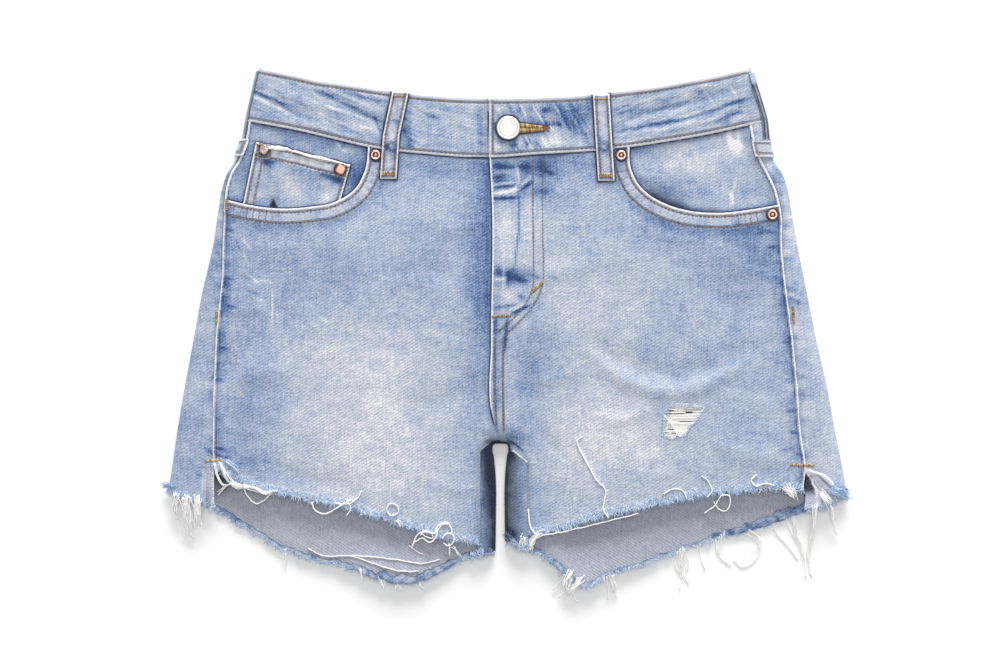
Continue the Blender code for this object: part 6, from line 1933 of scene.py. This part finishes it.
bunches = [  # strands, scatter at the start and at the end, radius, tint, then the route
    (9, 1, 1.4, 0.3, 0.8, -176, 57.5, -168, 58.6, -160, 59.4),
    (8, 0.9, 1.2, 0.3, 0.8, -156, 60.4, -146, 63.4, -136, 65.6, -124, 68),
    (10, 0.7, 0.8, 0.45, 0.95, -215, 291.8, -213.4, 300.1, -208.2, 307.7, -201.5, 306.5),
    (10, 1, 1.2, 0.42, 0.8, -210.5, 291, -208.4, 297, -204.4, 304.6, -199, 306.9),
    (12, 1.6, 1.2, 0.4, 0.62, -206.2, 290.3, -200.2, 294.8, -197.1, 300.1, -200, 305),
    (30, 1.9, 1.9, 0.55, 1, -202, 306.8, -197, 308.4, -191.5, 310),
    (14, 1.2, 0.5, 0.45, 0.95, -193.4, 308.4, -184.8, 310.7, -177.2, 314.3, -170, 311),
    (3, 0.5, 0.7, 0.4, 1, -203, 307.4, -207.5, 309, -210.5, 312.3, -215.8, 312.3),
    (2, 0.5, 0.7, 0.4, 1, -206, 308.4, -209.8, 312.3, -213.6, 317.4),
    (14, 3, 3.6, 0.42, 0.95, -243, 315, -244, 325, -240, 338),
    (20, 3.4, 3, 0.45, 0.95, -236, 317, -235, 330, -232, 345, -231.5, 350),
    (22, 3, 2.6, 0.45, 0.95, -228.5, 318, -227.5, 327, -226, 341),
    (5, 0.8, 1.4, 0.36, 0.95, -41, 352, -40.4, 357, -40.8, 362),
    (5, 0.8, 1.6, 0.36, 0.95, -37.5, 354, -34.5, 358.5, -31.5, 363),
    (7, 1.2, 1.4, 0.34, 0.95, -79, 334, -77.4, 337, -77, 341),
    (6, 1.6, 1.8, 0.34, 0.95, -107, 371, -106, 377, -105, 382),
    (7, 2, 2, 0.34, 0.95, -92, 376, -90, 382, -89, 386),
    (8, 2.4, 2.4, 0.34, 0.95, -81, 381, -79, 385, -77, 389),
    (7, 1.8, 2, 0.34, 0.95, -63, 378, -62, 383, -59, 387),
    (5, 2, 2, 0.35, 0.97, -163, 358, -164, 366, -162, 373),
    (26, 2, 2.4, 0.45, 0.46, -247, 308, -251.5, 308.5, -255, 307),
    (46, 3.4, 3.6, 0.5, 0.46, 241, 311, 248, 312.5, 255, 316),
    (34, 2.4, 2.8, 0.42, 1, 209, 311, 213, 314, 217, 317),
    (22, 2.4, 3, 0.45, 0.92, 235, 314, 239, 318, 242, 325),
    (26, 1.8, 2.2, 0.36, 0.1, 1, 344.5, 4, 347, 7, 350), (16, 2.2, 2.4, 0.34, 0.52, 5, 349, 8, 352, 12, 356),
    (16, 1.6, 2.2, 0.42, 0.9, 19.3, 355, 20.5, 349, 25, 344.5, 30, 342),
    (12, 2.4, 3, 0.34, 0.8, 14, 347, 13, 353, 11, 359), (16, 2.4, 2.6, 0.42, 0.95, 57, 377, 51, 384, 44, 392),
    (12, 2.2, 2.2, 0.42, 0.95, 49, 372, 45, 382, 47, 391), (8, 1.8, 2.4, 0.4, 0.8, 80, 375, 81, 384, 82, 393),
    (10, 2.6, 4.5, 0.4, 0.8, 131, 356, 131, 368, 134, 381), (5, 2, 3.5, 0.36, 1, 161, 345, 160, 356, 165, 366),
    (4, 1.2, 2.4, 0.38, 1, 181, 341, 191, 352, 181, 363),
    (6, 1.8, 1.8, 0.42, 0.8, 213, 328, 217, 345, 223, 360, 224, 377),
    (6, 1.8, 1.8, 0.42, 0.8, 230, 322, 228, 345, 226, 360, 229, 377),
    (3, 1.2, 2, 0.36, 1, 242, 324, 245, 336, 249, 343),
]


def threadBunches():
    # strands that share a route and stray from it by a smooth random offset at each of its points
    wild = np.random.default_rng(300)
    groups = {False: [], True: []}
    for count, first, last, radius, tint, *route in bunches:
        route = np.reshape(route, (-1, 2)).astype(float)
        stray = np.linspace(first, last, len(route))
        for k in range(count):
            flat = curved(route + wild.normal(0, 0.6, route.shape) * stray[:, None], 1.4)
            keep = max(4, int(len(flat) * wild.uniform(0.6, 1.0)))
            flat = flat[:keep]
            z = floated(clothTop(flat[:, 0], flat[:, 1])) + wild.uniform(0, 1.1)
            path = np.column_stack([flat, z + radius])
            shade = np.clip(tint + wild.normal(0, 0.08), -0.1, 1)
            groups[tint > 0.7].append((path[None], radius * np.linspace(1.0, 0.6, keep), shade))
    threads("thread-bunches-blue", groups[False], rawCotton, slot="raw_weft")
    threads("thread-bunches-white", groups[True], bareWeft, slot="raw_weft")


looseEnds()
threadBunches()
print("loose threads: done")
low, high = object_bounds()
